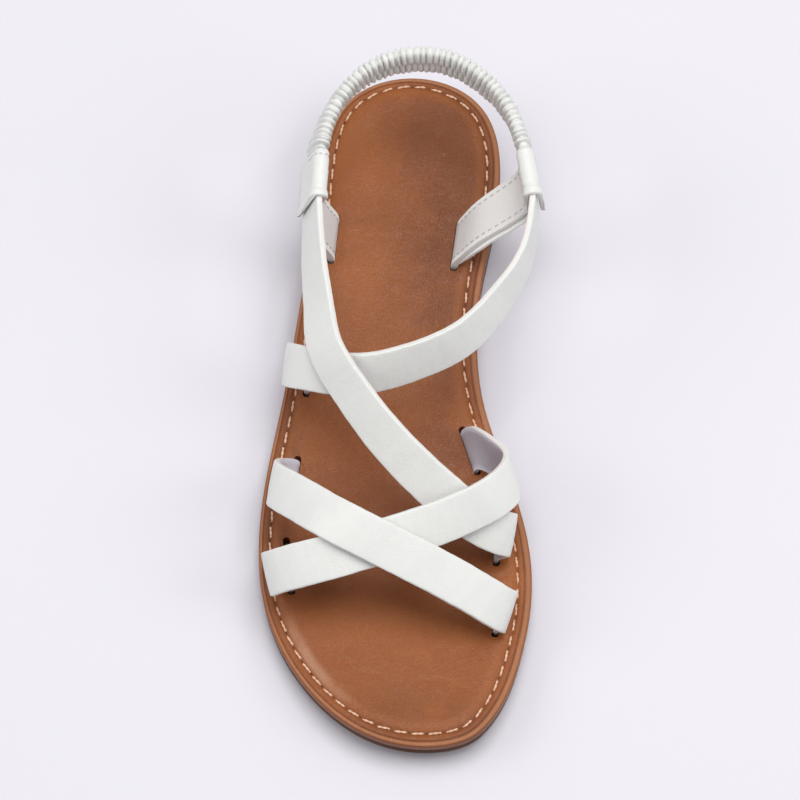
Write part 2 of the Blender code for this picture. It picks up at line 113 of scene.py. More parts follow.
# Share of the length, and heights of the rim and tread as shares of heel.
PROFILE: Table = (
    (0.00, 1.000, 0.045), (0.03, 0.997, 0.000), (0.12, 0.975, 0.000),
    (0.27, 0.890, 0.000), (0.32, 0.840, 0.115), (0.42, 0.718, 0.125),
    (0.50, 0.615, 0.100), (0.56, 0.556, 0.000), (0.66, 0.500, 0.000),
    (0.77, 0.488, 0.000), (0.84, 0.525, 0.050), (0.92, 0.618, 0.160),
    (1.00, 0.770, 0.320))

# Share of the length, side, height, heading and dip in degrees.
STRAP_A: Table = (
    (0.268, -0.365, 0.84, -100, 70), (0.420, -0.335, 0.85, -86, 56),
    (0.517, -0.245, 0.83, -71, 50), (0.601, -0.090, 0.775, -57, 41),
    (0.670, 0.105, 0.645, -47, 30), (0.703, 0.250, 0.475, -34, 23),
    (0.709, 0.325, 0.355, -20, 22), (0.704, 0.360, 0.23, -12, 19),
    (0.699, 0.355, 0.145, -8, 12), (0.695, 0.312, 0.00, -3, 0))
STRAP_B: Table = (
    (0.266, 0.450, 0.84, 96, 83), (0.351, 0.410, 0.855, 80, 78),
    (0.408, 0.320, 0.86, 64, 69), (0.457, 0.205, 0.86, 44, 63),
    (0.497, -0.005, 0.855, 25, 58), (0.510, -0.180, 0.81, 11, 49),
    (0.503, -0.290, 0.73, 2, 40), (0.487, -0.388, 0.60, -4, 33),
    (0.471, -0.447, 0.435, -7, 28), (0.462, -0.458, 0.33, -8, 24),
    (0.452, -0.440, 0.155, -7, 16), (0.448, -0.383, 0.00, -5, 3))
STRAP_C: Table = (
    (0.565, 0.213, 0.00, 18, 2), (0.567, 0.232, 0.095, 15, 20),
    (0.584, 0.286, 0.205, 12, 48), (0.614, 0.351, 0.365, 19, 52),
    (0.629, 0.361, 0.445, 24, 49), (0.658, 0.325, 0.565, 27, 45),
    (0.706, 0.148, 0.655, 23, 39), (0.746, -0.120, 0.705, 18, 28),
    (0.766, -0.342, 0.61, 14, 20), (0.769, -0.463, 0.46, 13, 18),
    (0.766, -0.511, 0.32, 13, 20), (0.756, -0.517, 0.17, 13, 20),
    (0.748, -0.500, 0.09, 12, 11), (0.738, -0.447, 0.00, 6, -3))
STRAP_D: Table = (
    (0.609, -0.433, 0.00, -8, 0), (0.614, -0.475, 0.09, -5, 18),
    (0.627, -0.503, 0.25, -10, 31), (0.638, -0.503, 0.36, -15, 31),
    (0.657, -0.465, 0.50, -21, 29), (0.707, -0.300, 0.715, -28, 25),
    (0.745, -0.135, 0.755, -29, 21), (0.782, 0.100, 0.575, -28, 13),
    (0.808, 0.285, 0.315, -24, 10), (0.812, 0.334, 0.20, -20, 14),
    (0.808, 0.351, 0.10, -18, 15), (0.804, 0.346, 0.045, -17, 9),
    (0.801, 0.325, 0.00, -16, -2))
QUARTER_MEDIAL: Table = (
    (0.263, 0.168, 0.02, -8, 3), (0.260, 0.192, 0.105, -6, 3),
    (0.250, 0.263, 0.315, -1, 3), (0.238, 0.350, 0.52, 5, 3))
QUARTER_LATERAL: Table = (
    (0.252, -0.293, 0.02, -6, 3), (0.251, -0.306, 0.09, -6, 3),
    (0.245, -0.345, 0.30, -5, 3), (0.236, -0.381, 0.51, -4, 3))
# Share of the length, side, height and lean in degrees.
HEEL_RING: Table = (
    (0.195, -0.353, 0.84, 20), (0.169, -0.337, 0.84, 18),
    (0.138, -0.307, 0.85, 15), (0.109, -0.260, 0.86, 11),
    (0.081, -0.190, 0.875, 7), (0.062, -0.100, 0.89, 3),
    (0.053, 0.033, 0.90, 0), (0.060, 0.150, 0.89, 1),
    (0.080, 0.240, 0.875, 2), (0.114, 0.330, 0.86, 4),
    (0.150, 0.382, 0.85, 6), (0.195, 0.419, 0.84, 7))


def unit(v: Array) -> Array:
    """Vectors scaled to length one."""
    return v / np.linalg.norm(v, axis=-1, keepdims=True)


def circle(count: int) -> Array:
    """Angles of evenly spaced points round a circle, in radians."""
    return 2.0 * math.pi * np.arange(count) / count


def ramp(values: Array, low: float = 0.0, high: float = 1.0) -> Array:
    """Share from 0 to 1 as values go straight from low to high."""
    return np.clip((values - low) / (high - low), 0.0, 1.0)


def bell(off: Array, reach: float = 1.0) -> Array:
    """Bell curve: e to the power of minus the square of off over reach."""
    return np.exp(-(off / reach) ** 2)


def read_rows(at: Array, chord: Array, rows: Array) -> Array:
    """Rows of a path, read at places along it, straight between them."""
    return np.stack([np.interp(at, chord, column) for column in rows.T], -1)


def natural(knots: Array, values: Array, at: Array) -> Array:
    """Natural cubic spline: bends solved from the slopes between rows.

    Args:
        knots: rising places of the rows.
        values: one row of columns for each knot.
        at: places to read, of any shape.

    Returns:
        The columns at each place, as the last axis.
    """
    knots = np.asarray(knots, float)
    values = np.asarray(values, float)
    at = np.asarray(at, float)
    step = np.diff(knots)
    count = len(knots)
    matrix = np.eye(count)
    mid = np.arange(1, count - 1)
    matrix[mid, mid - 1] = step[:-1]
    matrix[mid, mid] = 2.0 * (step[:-1] + step[1:])
    matrix[mid, mid + 1] = step[1:]
    slope = np.diff(values, axis=0) / step[:, None]
    right = np.zeros_like(values)
    right[1:-1] = 6.0 * np.diff(slope, axis=0)
    bend = np.linalg.solve(matrix, right)
    k = np.clip(np.searchsorted(knots, at) - 1, 0, count - 2)
    t = (at - knots[k])[..., None]
    h = step[k][..., None]
    first = slope[k] - h * (2.0 * bend[k] + bend[k + 1]) / 6.0
    return values[k] + t * (first + t * (bend[k] / 2.0
                            + t * (bend[k + 1] - bend[k]) / (6.0 * h)))


def travelled(path: Array) -> Array:
    """Distance along a path at each of its points."""
    step = np.linalg.norm(np.diff(path, axis=0), axis=1)
    return np.concatenate([[0.0], np.cumsum(step)])


def resampled(path: Array, others: Array, count: int) -> tuple[Array, Array]:
    """A path and the columns that go with it, at even steps of its chord.

    Args:
        path: points in order.
        others: more columns for the same points.
        count: number of points wanted.

    Returns:
        The new points and the new columns.
    """
    chord = travelled(path)
    at = np.linspace(0.0, chord[-1], count)
    return natural(chord, path, at), natural(chord, others, at)


def softened(rows: Array, reach: float) -> Array:
    """Rows averaged with a bell curve along them, ends kept where they are.

    Args:
        rows: values in order, first axis along the piece.
        reach: width of the bell, in rows.

    Returns:
        The softened rows.
    """
    half = int(math.ceil(3.0 * reach))
    weight = np.exp(-0.5 * (np.arange(-half, half + 1) / reach) ** 2)
    weight /= weight.sum()
    head = 2.0 * rows[:1] - rows[half:0:-1]
    tail = 2.0 * rows[-1:] - rows[-2:-half - 2:-1]
    longer = np.concatenate([head, rows, tail])
    index = np.arange(len(rows))[:, None] + np.arange(2 * half + 1)[None]
    return np.tensordot(longer[index], weight, axes=([1], [0]))


def widest(values: Array, reach: int) -> Array:
    """Largest value within a reach of rows on either side of each row."""
    longer = np.pad(values, reach, mode="edge")
    index = np.arange(len(values))[:, None] + np.arange(2 * reach + 1)[None]
    return longer[index].max(1)


def wander(at: Array, pitch: float, seed: int) -> Array:
    """Slow smooth unevenness from -1 to 1: three sines of unlike lengths.

    Args:
        at: places along the piece, in metres.
        pitch: rough length of one wander, in metres.
        seed: picks the phases.

    Returns:
        One value for each place.
    """
    turn = np.random.default_rng(seed).uniform(0.0, 2.0 * math.pi, 3)
    wave = 2.0 * math.pi * at / pitch
    return (np.sin(wave + turn[0]) + 0.6 * np.sin(2.3 * wave + turn[1])
            + 0.4 * np.sin(4.1 * wave + turn[2])) / 2.0


def grid_faces(rows: int, columns: int, wrap: bool) -> Array:
    """Quads of a grid of points, row after row.

    Args:
        rows: number of rows.
        columns: points in a row.
        wrap: whether the last point of a row joins the first.

    Returns:
        Corner numbers, four for each face.
    """
    r = np.arange(rows - 1)[:, None] * columns
    c = np.arange(columns if wrap else columns - 1)[None]
    n = (c + 1) % columns
    quad = [r + c, r + n, r + columns + n, r + columns + c]
    return np.stack(np.broadcast_arrays(*quad), -1).reshape(-1, 4)


def tube_faces(copies: int, rows: int, columns: int) -> list:
    """Faces of one or more closed tubes of rings, flat at their ends.

    Args:
        copies: number of tubes, one after another.
        rows: rings in a tube.
        columns: points in a ring.

    Returns:
        Corner numbers of each face.
    """
    first = np.arange(copies)[:, None] * rows * columns
    quads = grid_faces(rows, columns, True)[None] + first[..., None]
    cap = np.arange(columns)
    return (quads.reshape(-1, 4).tolist() + (first + cap[::-1]).tolist()
            + (first + (rows - 1) * columns + cap).tolist())


def make_piece(name: str, points: Array, faces: list,
               marks: Optional[dict[str, Array]] = None,
               weld: float = 0.0) -> bpy.types.Object:
    """Mesh object from points and faces, smooth, with faces outwards.

    Args:
        name: the object's name.
        points: corner places in metres.
        faces: corner numbers of each face.
        marks: named values for each point, for the material to read.
        weld: joins points closer than this, where it isn't zero.

    Returns:
        The new object, in the scene.
    """
    mesh = bpy.data.meshes.new(name)
    mesh.from_pydata(points.tolist(), [], faces)
    for key, values in (marks or {}).items():
        mark = mesh.attributes.new(key, "FLOAT", "POINT")
        mark.data.foreach_set("value", np.asarray(values, np.float32).ravel())
    tidy = bmesh.new()
    tidy.from_mesh(mesh)
    if weld > 0.0:
        bmesh.ops.remove_doubles(tidy, verts=tidy.verts, dist=weld)
    bmesh.ops.recalc_face_normals(tidy, faces=tidy.faces)
    tidy.to_mesh(mesh)
    tidy.free()
    mesh.shade_smooth()
    item = bpy.data.objects.new(name, mesh)
    bpy.context.scene.collection.objects.link(item)
    return item


def tube_piece(name: str, rings: Array,
               marks: Optional[dict[str, Array]] = None) -> bpy.types.Object:
    """Closed solid from rings of points, flat at its two ends.

    Args:
        name: the object's name.
        rings: points as rows, columns and xyz.
        marks: named values as rows and columns.

    Returns:
        The new object.
    """
    return make_piece(name, rings.reshape(-1, 3),
                      tube_faces(1, *rings.shape[:2]), marks)


def finish_piece(item: bpy.types.Object, material: bpy.types.Material
                 ) -> None:
    """Give a piece its material and log how many faces it has."""
    item.data.materials.append(material)
    LOG.info("%s: %d faces", item.name, len(item.data.polygons))


def aimed(name: str, data: bpy.types.ID, place: Point, goal: Point
          ) -> bpy.types.Object:
    """A camera or light at a place, turned towards a goal."""
    item = bpy.data.objects.new(name, data)
    item.location = place
    way = Vector(goal) - Vector(place)
    item.rotation_euler = way.to_track_quat("-Z", "Y").to_euler()
    bpy.context.scene.collection.objects.link(item)
    return item


class Nodes:
    """Adds and links the shader nodes of one tree."""

    def __init__(self, tree: bpy.types.NodeTree) -> None:
        """Keep the tree to work in."""
        self.tree = tree

    def add(self, kind: str, inputs: Optional[dict] = None,
            **settings: object) -> bpy.types.Node:
        """A new node.

        Args:
            kind: the node's type name.
            inputs: socket names or numbers with a value or a socket to link.
            settings: the node's own settings.

        Returns:
            The node.
        """
        node = self.tree.nodes.new(kind)
        for key, value in settings.items():
            setattr(node, key, value)
        for key, value in (inputs or {}).items():
            if isinstance(value, bpy.types.NodeSocket):
                self.tree.links.new(value, node.inputs[key])
            else:
                node.inputs[key].default_value = value
        return node

    def mix(self, share: object, low: object, high: object) -> object:
        """Colour between two colours by a share."""
        node = self.add("ShaderNodeMix", {0: share, 6: low, 7: high},
                        data_type="RGBA")
        return node.outputs[2]

    def math(self, operation: str, *values: object) -> object:
        """Result of a sum of one or more values."""
        node = self.add("ShaderNodeMath", dict(enumerate(values)),
                        operation=operation)
        return node.outputs[0]

    def band(self, value: object, low: float, high: float) -> object:
        """Share from 0 to 1 as a value goes from low to high, eased."""
        node = self.add("ShaderNodeMapRange",
                        {"Value": value, "From Min": low, "From Max": high},
                        interpolation_type="SMOOTHSTEP")
        return node.outputs["Result"]

    def between(self, value: object, rise: tuple[float, float],
                fall: tuple[float, float]) -> object:
        """Share that goes from 0 to 1 over rise and back over fall."""
        return self.math("MULTIPLY", self.band(value, *rise),
                         self.band(value, *fall))

    def noise(self, vector: object, size: float, detail: float = 2.0,
              rough: float = 0.5) -> object:
        """Noise from 0 to 1 whose lumps are about the given size in metres."""
        node = self.add("ShaderNodeTexNoise",
                        {"Vector": vector, "Scale": 1.0 / size,
                         "Detail": detail, "Roughness": rough})
        return node.outputs["Fac"]


def group_tree(name: str, inputs: Sequence[tuple], outputs: Sequence[tuple]
               ) -> tuple[bpy.types.NodeTree, Nodes, object, object]:
    """Empty shader node group with named sockets.

    Args:
        name: the group's name.
        inputs: socket type, name and start value of each input.
        outputs: socket type and name of each output.

    Returns:
        The tree, its node adder, its input node and its output node.
    """
    tree = bpy.data.node_groups.new(name, "ShaderNodeTree")
    for kind, label, value in inputs:
        socket = tree.interface.new_socket(label, in_out="INPUT",
                                           socket_type=kind)
        if value is not None:
            socket.default_value = value
    for kind, label in outputs:
        tree.interface.new_socket(label, in_out="OUTPUT", socket_type=kind)
    nodes = Nodes(tree)
    return (tree, nodes, nodes.add("NodeGroupInput"),
            nodes.add("NodeGroupOutput"))


def leather_grain() -> bpy.types.NodeTree:
    """Fine pebbles between creases: cell edges stirred by noise, plus pores.

    Returns:
        Group with the place and two scales in, and a height out.
    """
    tree, nodes, given, out = group_tree(
        "leather_grain",
        (("NodeSocketVector", "Place", None),
         ("NodeSocketFloat", "Pebbles", 1600.0),
         ("NodeSocketFloat", "Pores", 5200.0)),
        (("NodeSocketFloat", "Height"),))
    place, scale = given.outputs["Place"], given.outputs["Pebbles"]
    stir = nodes.add("ShaderNodeTexNoise",
                     {"Vector": place, "Scale": scale, "Detail": 1.0})
    shift = nodes.add("ShaderNodeVectorMath",
                      {0: stir.outputs["Color"], 3: 0.0005},
                      operation="SCALE")
    moved = nodes.add("ShaderNodeVectorMath",
                      {0: place, 1: shift.outputs[0]}, operation="ADD")
    cells = nodes.add("ShaderNodeTexVoronoi",
                      {"Vector": moved.outputs[0], "Scale": scale},
                      feature="DISTANCE_TO_EDGE")
    pebble = nodes.band(cells.outputs["Distance"], 0.0, 0.28)
    pores = nodes.add("ShaderNodeTexNoise",
                      {"Vector": place, "Scale": given.outputs["Pores"],
                       "Detail": 2.0})
    height = nodes.math("MULTIPLY_ADD", pores.outputs["Fac"], 0.45,
                        nodes.math("MULTIPLY", pebble, 0.6))
    nodes.tree.links.new(height, out.inputs["Height"])
    return tree


def uneven_tone() -> bpy.types.NodeTree:
    """A base colour clouded by two others at two sizes of noise.

    Returns:
        Group with the place and three colours in, and a colour out.
    """
    tree, nodes, given, out = group_tree(
        "uneven_tone",
        (("NodeSocketVector", "Place", None),
         ("NodeSocketColor", "Base", None),
         ("NodeSocketColor", "Deep", None),
         ("NodeSocketColor", "Worn", None),
         ("NodeSocketFloat", "Cloud", 26.0),
         ("NodeSocketFloat", "Fleck", 240.0)),
        (("NodeSocketColor", "Colour"),))
    cloud, fleck = (
        nodes.add("ShaderNodeTexNoise",
                  {"Vector": given.outputs["Place"],
                   "Scale": given.outputs[scale],
                   "Detail": detail}).outputs["Fac"]
        for scale, detail in (("Cloud", 2.0), ("Fleck", 3.0)))
    deep = nodes.band(cloud, 0.46, 0.80)
    worn = nodes.math("MULTIPLY", nodes.band(fleck, 0.52, 0.74), 0.45)
    colour = nodes.mix(deep, given.outputs["Base"], given.outputs["Deep"])
    colour = nodes.mix(worn, colour, given.outputs["Worn"])
    nodes.tree.links.new(colour, out.inputs["Colour"])
    return tree


def dimmed(colour: Colour, share: float) -> Colour:
    """A colour times a share, as solid as before."""
    return tuple(share * part for part in colour[:3]) + (1.0,)


@dataclass(frozen=True)
class Groups:
    """The node groups that the finishes share."""

    grain: bpy.types.NodeTree
    tone: bpy.types.NodeTree


@dataclass(frozen=True)
class Finish:
    """What every finish has: a name, three colours and a roughness."""

    name: str
    face: Colour
    deep: Colour
    worn: Colour
    roughness: float

    def start(self) -> tuple[bpy.types.Material, Nodes, object, object]:
        """New material with its shader and its object coordinates.

        Returns:
            The material, its node adder, its shader and its place socket.
        """
        material = bpy.data.materials.new(self.name)
        material.use_nodes = True
        nodes = Nodes(material.node_tree)
        shader = material.node_tree.nodes["Principled BSDF"]
        shader.inputs["Roughness"].default_value = self.roughness
        place = nodes.add("ShaderNodeTexCoord").outputs["Object"]
        return material, nodes, shader, place

    def tone(self, nodes: Nodes, groups: Groups, place: object,
             cloud: float, fleck: float) -> object:
        """The three colours, mixed by clouds and flecks of given scales."""
        return nodes.add("ShaderNodeGroup",
                         {"Place": place, "Base": self.face,
                          "Deep": self.deep, "Worn": self.worn,
                          "Cloud": cloud, "Fleck": fleck},
                         node_tree=groups.tone).outputs["Colour"]

    def grain(self, nodes: Nodes, groups: Groups, place: object,
              pebbles: float, pores: float) -> object:
        """Height of the grain, for given scales of pebbles and pores."""
        return nodes.add("ShaderNodeGroup",
                         {"Place": place, "Pebbles": pebbles,
                          "Pores": pores},
                         node_tree=groups.grain).outputs["Height"]

    def fill(self, nodes: Nodes, shader: object, colour: object,
             rough: object, height: object, depth: float) -> None:
        """Link colour, roughness and a bump of a depth in metres."""
        bump = nodes.add("ShaderNodeBump",
                         {"Height": height, "Strength": 1.0,
                          "Distance": depth})
        for value, key in ((colour, "Base Color"), (rough, "Roughness"),
                           (bump.outputs["Normal"], "Normal")):
            nodes.tree.links.new(value, shader.inputs[key])


@dataclass(frozen=True)
class StrapLeather(Finish):
    """Smooth painted leather with a lining, told apart by mark layer.

    The mark runs from 0 on the outer face through the edge to 1 inside, and
    a thin raw line shows where the lining meets the edge.
    """

    face: Colour = (0.752, 0.756, 0.722, 1.0)
    deep: Colour = (0.720, 0.726, 0.693, 1.0)
    worn: Colour = (0.778, 0.782, 0.755, 1.0)
    roughness: float = 0.46
    raw: Colour = (0.80, 0.62, 0.54, 1.0)
    raw_share: float = 0.70
    lining: Colour = (0.57, 0.545, 0.60, 1.0)

    def build(self, groups: Groups) -> bpy.types.Material:
        """The finished material."""
        material, nodes, shader, place = self.start()
        layer = nodes.add("ShaderNodeAttribute",
                          attribute_name="layer").outputs["Fac"]
        tone = self.tone(nodes, groups, place, 38.0, 300.0)
        line = nodes.between(layer, (0.62, 0.70), (0.86, 0.79))
        line = nodes.math("MULTIPLY", line, nodes.math(
            "MULTIPLY", self.raw_share,
            nodes.band(nodes.noise(place, 0.004), 0.25, 0.55)))
        colour = nodes.mix(line, tone, self.raw)
        inside = nodes.band(layer, 0.82, 0.88)
        nap = nodes.mix(nodes.noise(place, 0.0007, 3.0), self.lining,
                        dimmed(self.lining, 0.90))
        colour = nodes.mix(inside, colour, nap)
        rough = nodes.math("MULTIPLY_ADD", inside, 0.30,
                           nodes.math("MULTIPLY_ADD",
                                      nodes.noise(place, 0.010), 0.10,
                                      self.roughness - 0.05))
        height = nodes.math(
            "MULTIPLY_ADD", nodes.noise(place, 0.0045, 3.0), 2.2,
            self.grain(nodes, groups, place, 1250.0, 4200.0))
        self.fill(nodes, shader, colour, rough, height, 0.00006)
        return material


@dataclass(frozen=True)
class FootbedLeather(Finish):
    """Tan leather with a painted highlight on its rim and painted shade under
    its edge, in its crease and in its stitch groove, told where by mark inset.

    The mark is the distance from the edge in millimetres with the stitch
    groove at 4.25 all round.
    """

    face: Colour = (0.290, 0.084, 0.0185, 1.0)
    deep: Colour = (0.200, 0.056, 0.013, 1.0)
    # Lighter tone of flecks and patches, and also the colour of the painted
    # light at the toe and inside the groove.
    worn: Colour = (0.368, 0.115, 0.027, 1.0)
    roughness: float = 0.36
    # Colour of the painted shade, and of the grain's specks.
    dark: Colour = (0.070, 0.020, 0.009, 1.0)
    # Colour of the painted highlight on the rolled rim.
    edge: Colour = (0.400, 0.165, 0.070, 1.0)
    # Colour of the painted sheen.
    pale: Colour = (0.47, 0.245, 0.145, 1.0)
    # Darker patches: two at the heel, two at the arch and two on the outer
    # side's rim.
    dark_patches: Table = ((10.0, 10.0, 21.0, 26.0, 0.62),
                     (17.0, -8.0, 17.0, 30.0, 0.66),
                     (13.0, -40.0, 14.0, 22.0, 0.45),
                     (13.0, -56.0, 14.0, 16.0, 0.55),
                     (-42.0, -97.0, 6.0, 20.0, 0.60),
                     (-45.5, -134.0, 7.0, 22.0, 0.65))
    # Lighter patches: those at the heel and arch are the leather's own tone,
    # and the three at the toe are painted light that brightens the toe under
    # the straps.
    tone_and_painted_light_patches: Table = ((-20.0, 8.0, 12.0, 24.0, 0.55),
                   (-17.0, -36.0, 13.0, 24.0, 0.40),
                   (-5.0, -88.0, 16.0, 12.0, 0.55),
                   (0.0, -166.0, 34.0, 16.0, 0.45),
                   (-2.0, -190.0, 34.0, 18.0, 0.25),
                   (33.0, -150.0, 8.0, 13.0, 0.90))
    # Painted highlight: a sheen patch on the toe's outer side, inside the
    # stitch groove.
    sheen: Table = ((-30.0, -175.0, 16.0, 28.0, 0.75),)

    def spots(self, nodes: Nodes, place: object, rows: Table) -> object:
        """How far a point lies in any of some soft rounded patches.

        Each patch is one less the distance from its middle in half widths,
        stirred by noise.

        Args:
            nodes: where the nodes go.
            place: the object coordinates.
            rows: middle, half widths in millimetres and strength of each.

        Returns:
            A socket from 0 to 1.
        """
        stir = nodes.math("MULTIPLY_ADD", nodes.noise(place, 0.011, 3.0),
                          0.9, -0.45)
        total = 0.0
        for x, y, wide, long, strength in rows:
            moved = nodes.add("ShaderNodeMapping",
                              {"Vector": place,
                               "Location": (-x / wide, -y / long, 0.0),
                               "Scale": (1000.0 / wide, 1000.0 / long, 0.0)})
            far = nodes.add("ShaderNodeVectorMath", {0: moved.outputs[0]},
                            operation="LENGTH").outputs["Value"]
            near = nodes.band(nodes.math("ADD", far, stir), 1.15, 0.25)
            total = nodes.math("MAXIMUM", total,
                               nodes.math("MULTIPLY", near, strength))
        return total

    def build(self, groups: Groups) -> bpy.types.Material:
        """The finished material."""
        material, nodes, shader, place = self.start()
        shader.inputs["Specular IOR Level"].default_value = 0.37
        inset = nodes.add("ShaderNodeAttribute",
                          attribute_name="inset").outputs["Fac"]
        # Painted shade under the edge, in the rim's crease and in the stitch
        # groove.
        shade = nodes.band(inset, 0.10, -0.10)
        shade = nodes.math("MULTIPLY", shade, 0.55)
        for rise, fall, share in (((1.15, 1.45), (1.85, 1.50), 0.44),
                                  ((3.70, 4.20), (4.85, 4.30), 0.22)):
            line = nodes.math("MULTIPLY", nodes.between(inset, rise, fall),
                              share)
            shade = nodes.math("MAXIMUM", shade, line)
        # Lighter band inside the stitch groove: partly leather worn lighter,
        # partly a painted highlight on the padding's slope.
        rubbed_and_painted_sheen_band = nodes.between(inset, (4.6, 5.8), (9.5, 6.5))
        # Painted highlight: the sheen patch, kept to the band inside the
        # groove.
        sheen = nodes.math("MULTIPLY", rubbed_and_painted_sheen_band,
                           self.spots(nodes, place, self.sheen))
        speck = nodes.band(nodes.noise(place, 0.0009, 2.0), 0.60, 0.36)
        # Painted highlight along the rolled rim, where its rounded edge would
        # catch the light.
        rim = nodes.between(inset, (0.2, 0.7), (1.5, 1.1))
        colour = self.tone(nodes, groups, place, 17.0, 60.0)
        # Mixed in turn over the clouded tone: lighter patches, the toe's being
        # painted light; darker patches; the band inside the groove, partly
        # worn and partly painted highlight; the painted sheen; grain specks;
        # the rim's painted highlight; and painted shade.
        for share, over in (
                (self.spots(nodes, place, self.tone_and_painted_light_patches), self.worn),
                (self.spots(nodes, place, self.dark_patches),
                 dimmed(self.deep, 0.80)),
                (nodes.math("MULTIPLY", rubbed_and_painted_sheen_band, 0.35), self.worn),
                (sheen, self.pale),
                (nodes.math("MULTIPLY", speck, 0.10), self.dark),
                (nodes.math("MULTIPLY", rim, 0.78), self.edge),
                (shade, self.dark)):
            colour = nodes.mix(share, colour, over)
        rough = nodes.math("MULTIPLY_ADD", nodes.noise(place, 0.006, 3.0),
                           0.18, self.roughness - 0.09)
        stretch = nodes.add("ShaderNodeMapping",
                            {"Vector": place, "Scale": (1.0, 0.45, 1.0)})
        lines = nodes.noise(stretch.outputs[0], 0.0022, 4.0, 0.65)
        height = nodes.math(
            "MULTIPLY_ADD", lines, 1.6,
            self.grain(nodes, groups, place, 1250.0, 4600.0))
        self.fill(nodes, shader, colour, rough, height, 0.00013)
        return material


@dataclass(frozen=True)
class PlainFinish(Finish):
    """One clouded colour with a fine grain: thread, sole and the painted shade
    in the stitch holes.
    """

    pebbles: float = 2600.0
    depth: float = 0.00004

    def build(self, groups: Groups) -> bpy.types.Material:
        """The finished material."""
        material, nodes, shader, place = self.start()
        rough = nodes.math("MULTIPLY_ADD", nodes.noise(place, 0.003, 2.0),
                           0.14, self.roughness - 0.07)
        height = self.grain(nodes, groups, place, self.pebbles,
                            2.4 * self.pebbles)
        self.fill(nodes, shader, self.tone(nodes, groups, place, 90.0, 700.0),
                  rough, height, self.depth)
        return material


class Sole:
    """The sole's outline and levels, read from the tables."""

    def __init__(self, sizes: ShoeSizes, stations: int = 420) -> None:
        """Work out the outline loop and its inward directions.

        Args:
            sizes: the shoe's sizes.
            stations: points on each half of the outline.
        """
        self.sizes = sizes
        self.count = 2 * stations
        angle = circle(self.count)
        outer = angle <= math.pi
        edges = self.edges(np.where(outer, angle, 2.0 * math.pi - angle))
        x = np.where(outer, edges[:, 0], edges[:, 1])
        y = sizes.back - sizes.length * (1.0 - np.cos(angle)) / 2.0
        self.angle = angle
        self.loop = np.stack([x, y], 1)
        run = unit(np.roll(self.loop, -2, 0) - np.roll(self.loop, 2, 0))
        self.inward = np.stack([-run[:, 1], run[:, 0]], 1)

    def edges(self, turn: Array) -> Array:
        """Outer and inner edge across the shoe, from its turn in radians."""
        even = np.linspace(0.0, math.pi, len(OUTLINE))
        return natural(even, np.array(OUTLINE), turn) * self.sizes.ball

    def share(self, y: Array) -> Array:
        """Share of the length from the heel at a place along the shoe."""
        return ramp(self.sizes.back - np.asarray(y), 0.0, self.sizes.length)

    def top(self, y: Array) -> Array:
        """Height of the rim's top: spline through the profile table."""
        rows = np.array(PROFILE)
        height = natural(rows[:, 0], rows[:, 1:2], self.share(y))[..., 0]
        return height * self.sizes.heel

    def under(self, y: Array) -> Array:
        """Height of the tread: straight between the profile's rows."""
        rows = np.array(PROFILE)
        return np.interp(self.share(y), rows[:, 0],
                         rows[:, 2]) * self.sizes.heel

    def middle_line(self, y: Array) -> Array:
        """Middle of the sole between its two edges at a place along it."""
        turn = np.arccos(np.clip(1.0 - 2.0 * self.share(y), -1.0, 1.0))
        return self.edges(turn).mean(-1)

    def disc(self, rings: Array, shares: Array) -> Array:
        """More rings from the last one in to the middle line of the sole.

        Each point slides straight to its own place on the middle line.

        Args:
            rings: rings of xy, outermost first.
            shares: how far each new ring has slid, up to 1.

        Returns:
            The new rings of xy.
        """
        last = rings[-1]
        reach = 0.024
        y = np.clip(last[:, 1], self.loop[:, 1].min() + reach,
                    self.loop[:, 1].max() - reach)
        goal = np.stack([self.middle_line(y), y], 1)
        share = shares[:, None, None]
        return last[None] * (1.0 - share) + goal[None] * share

    def shell(self, name: str, xy: Array, z: Array,
              marks: Optional[dict[str, Array]] = None) -> bpy.types.Object:
        """Closed solid from rings round the sole, welded at their ends.

        Args:
            name: the object's name.
            xy: rings of level places.
            z: height at each place.
            marks: named values for each place.

        Returns:
            The new object.
        """
        points = np.concatenate([xy, z[..., None]], -1)
        faces = grid_faces(len(points), self.count, True).tolist()
        return make_piece(name, points.reshape(-1, 3), faces, marks,
                          weld=0.00002)


def places(table: Table, sole: Sole) -> Array:
    """Points of a table: length share, side share, height share.

    Args:
        table: rows as part of the shoe's design.
        sole: the sole that the heights stand on.

    Returns:
        One point for each row.
    """
    rows = np.array(table, float)
    sizes = sole.sizes
    y = sizes.back - rows[:, 0] * sizes.length
    root = sole.top(y) + sizes.pillow + sizes.root
    return np.stack([rows[:, 1] * sizes.ball, y,
                     root + rows[:, 2] * sizes.rise], 1)


def headings(table: Table) -> Array:
    """Directions across a strap from its heading and dip columns."""
    rows = np.radians(np.array(table, float)[:, 3:5])
    level = np.cos(rows[:, 1])
    return np.stack([level * np.sin(rows[:, 0]), -level * np.cos(rows[:, 0]),
                     -np.sin(rows[:, 1])], 1)


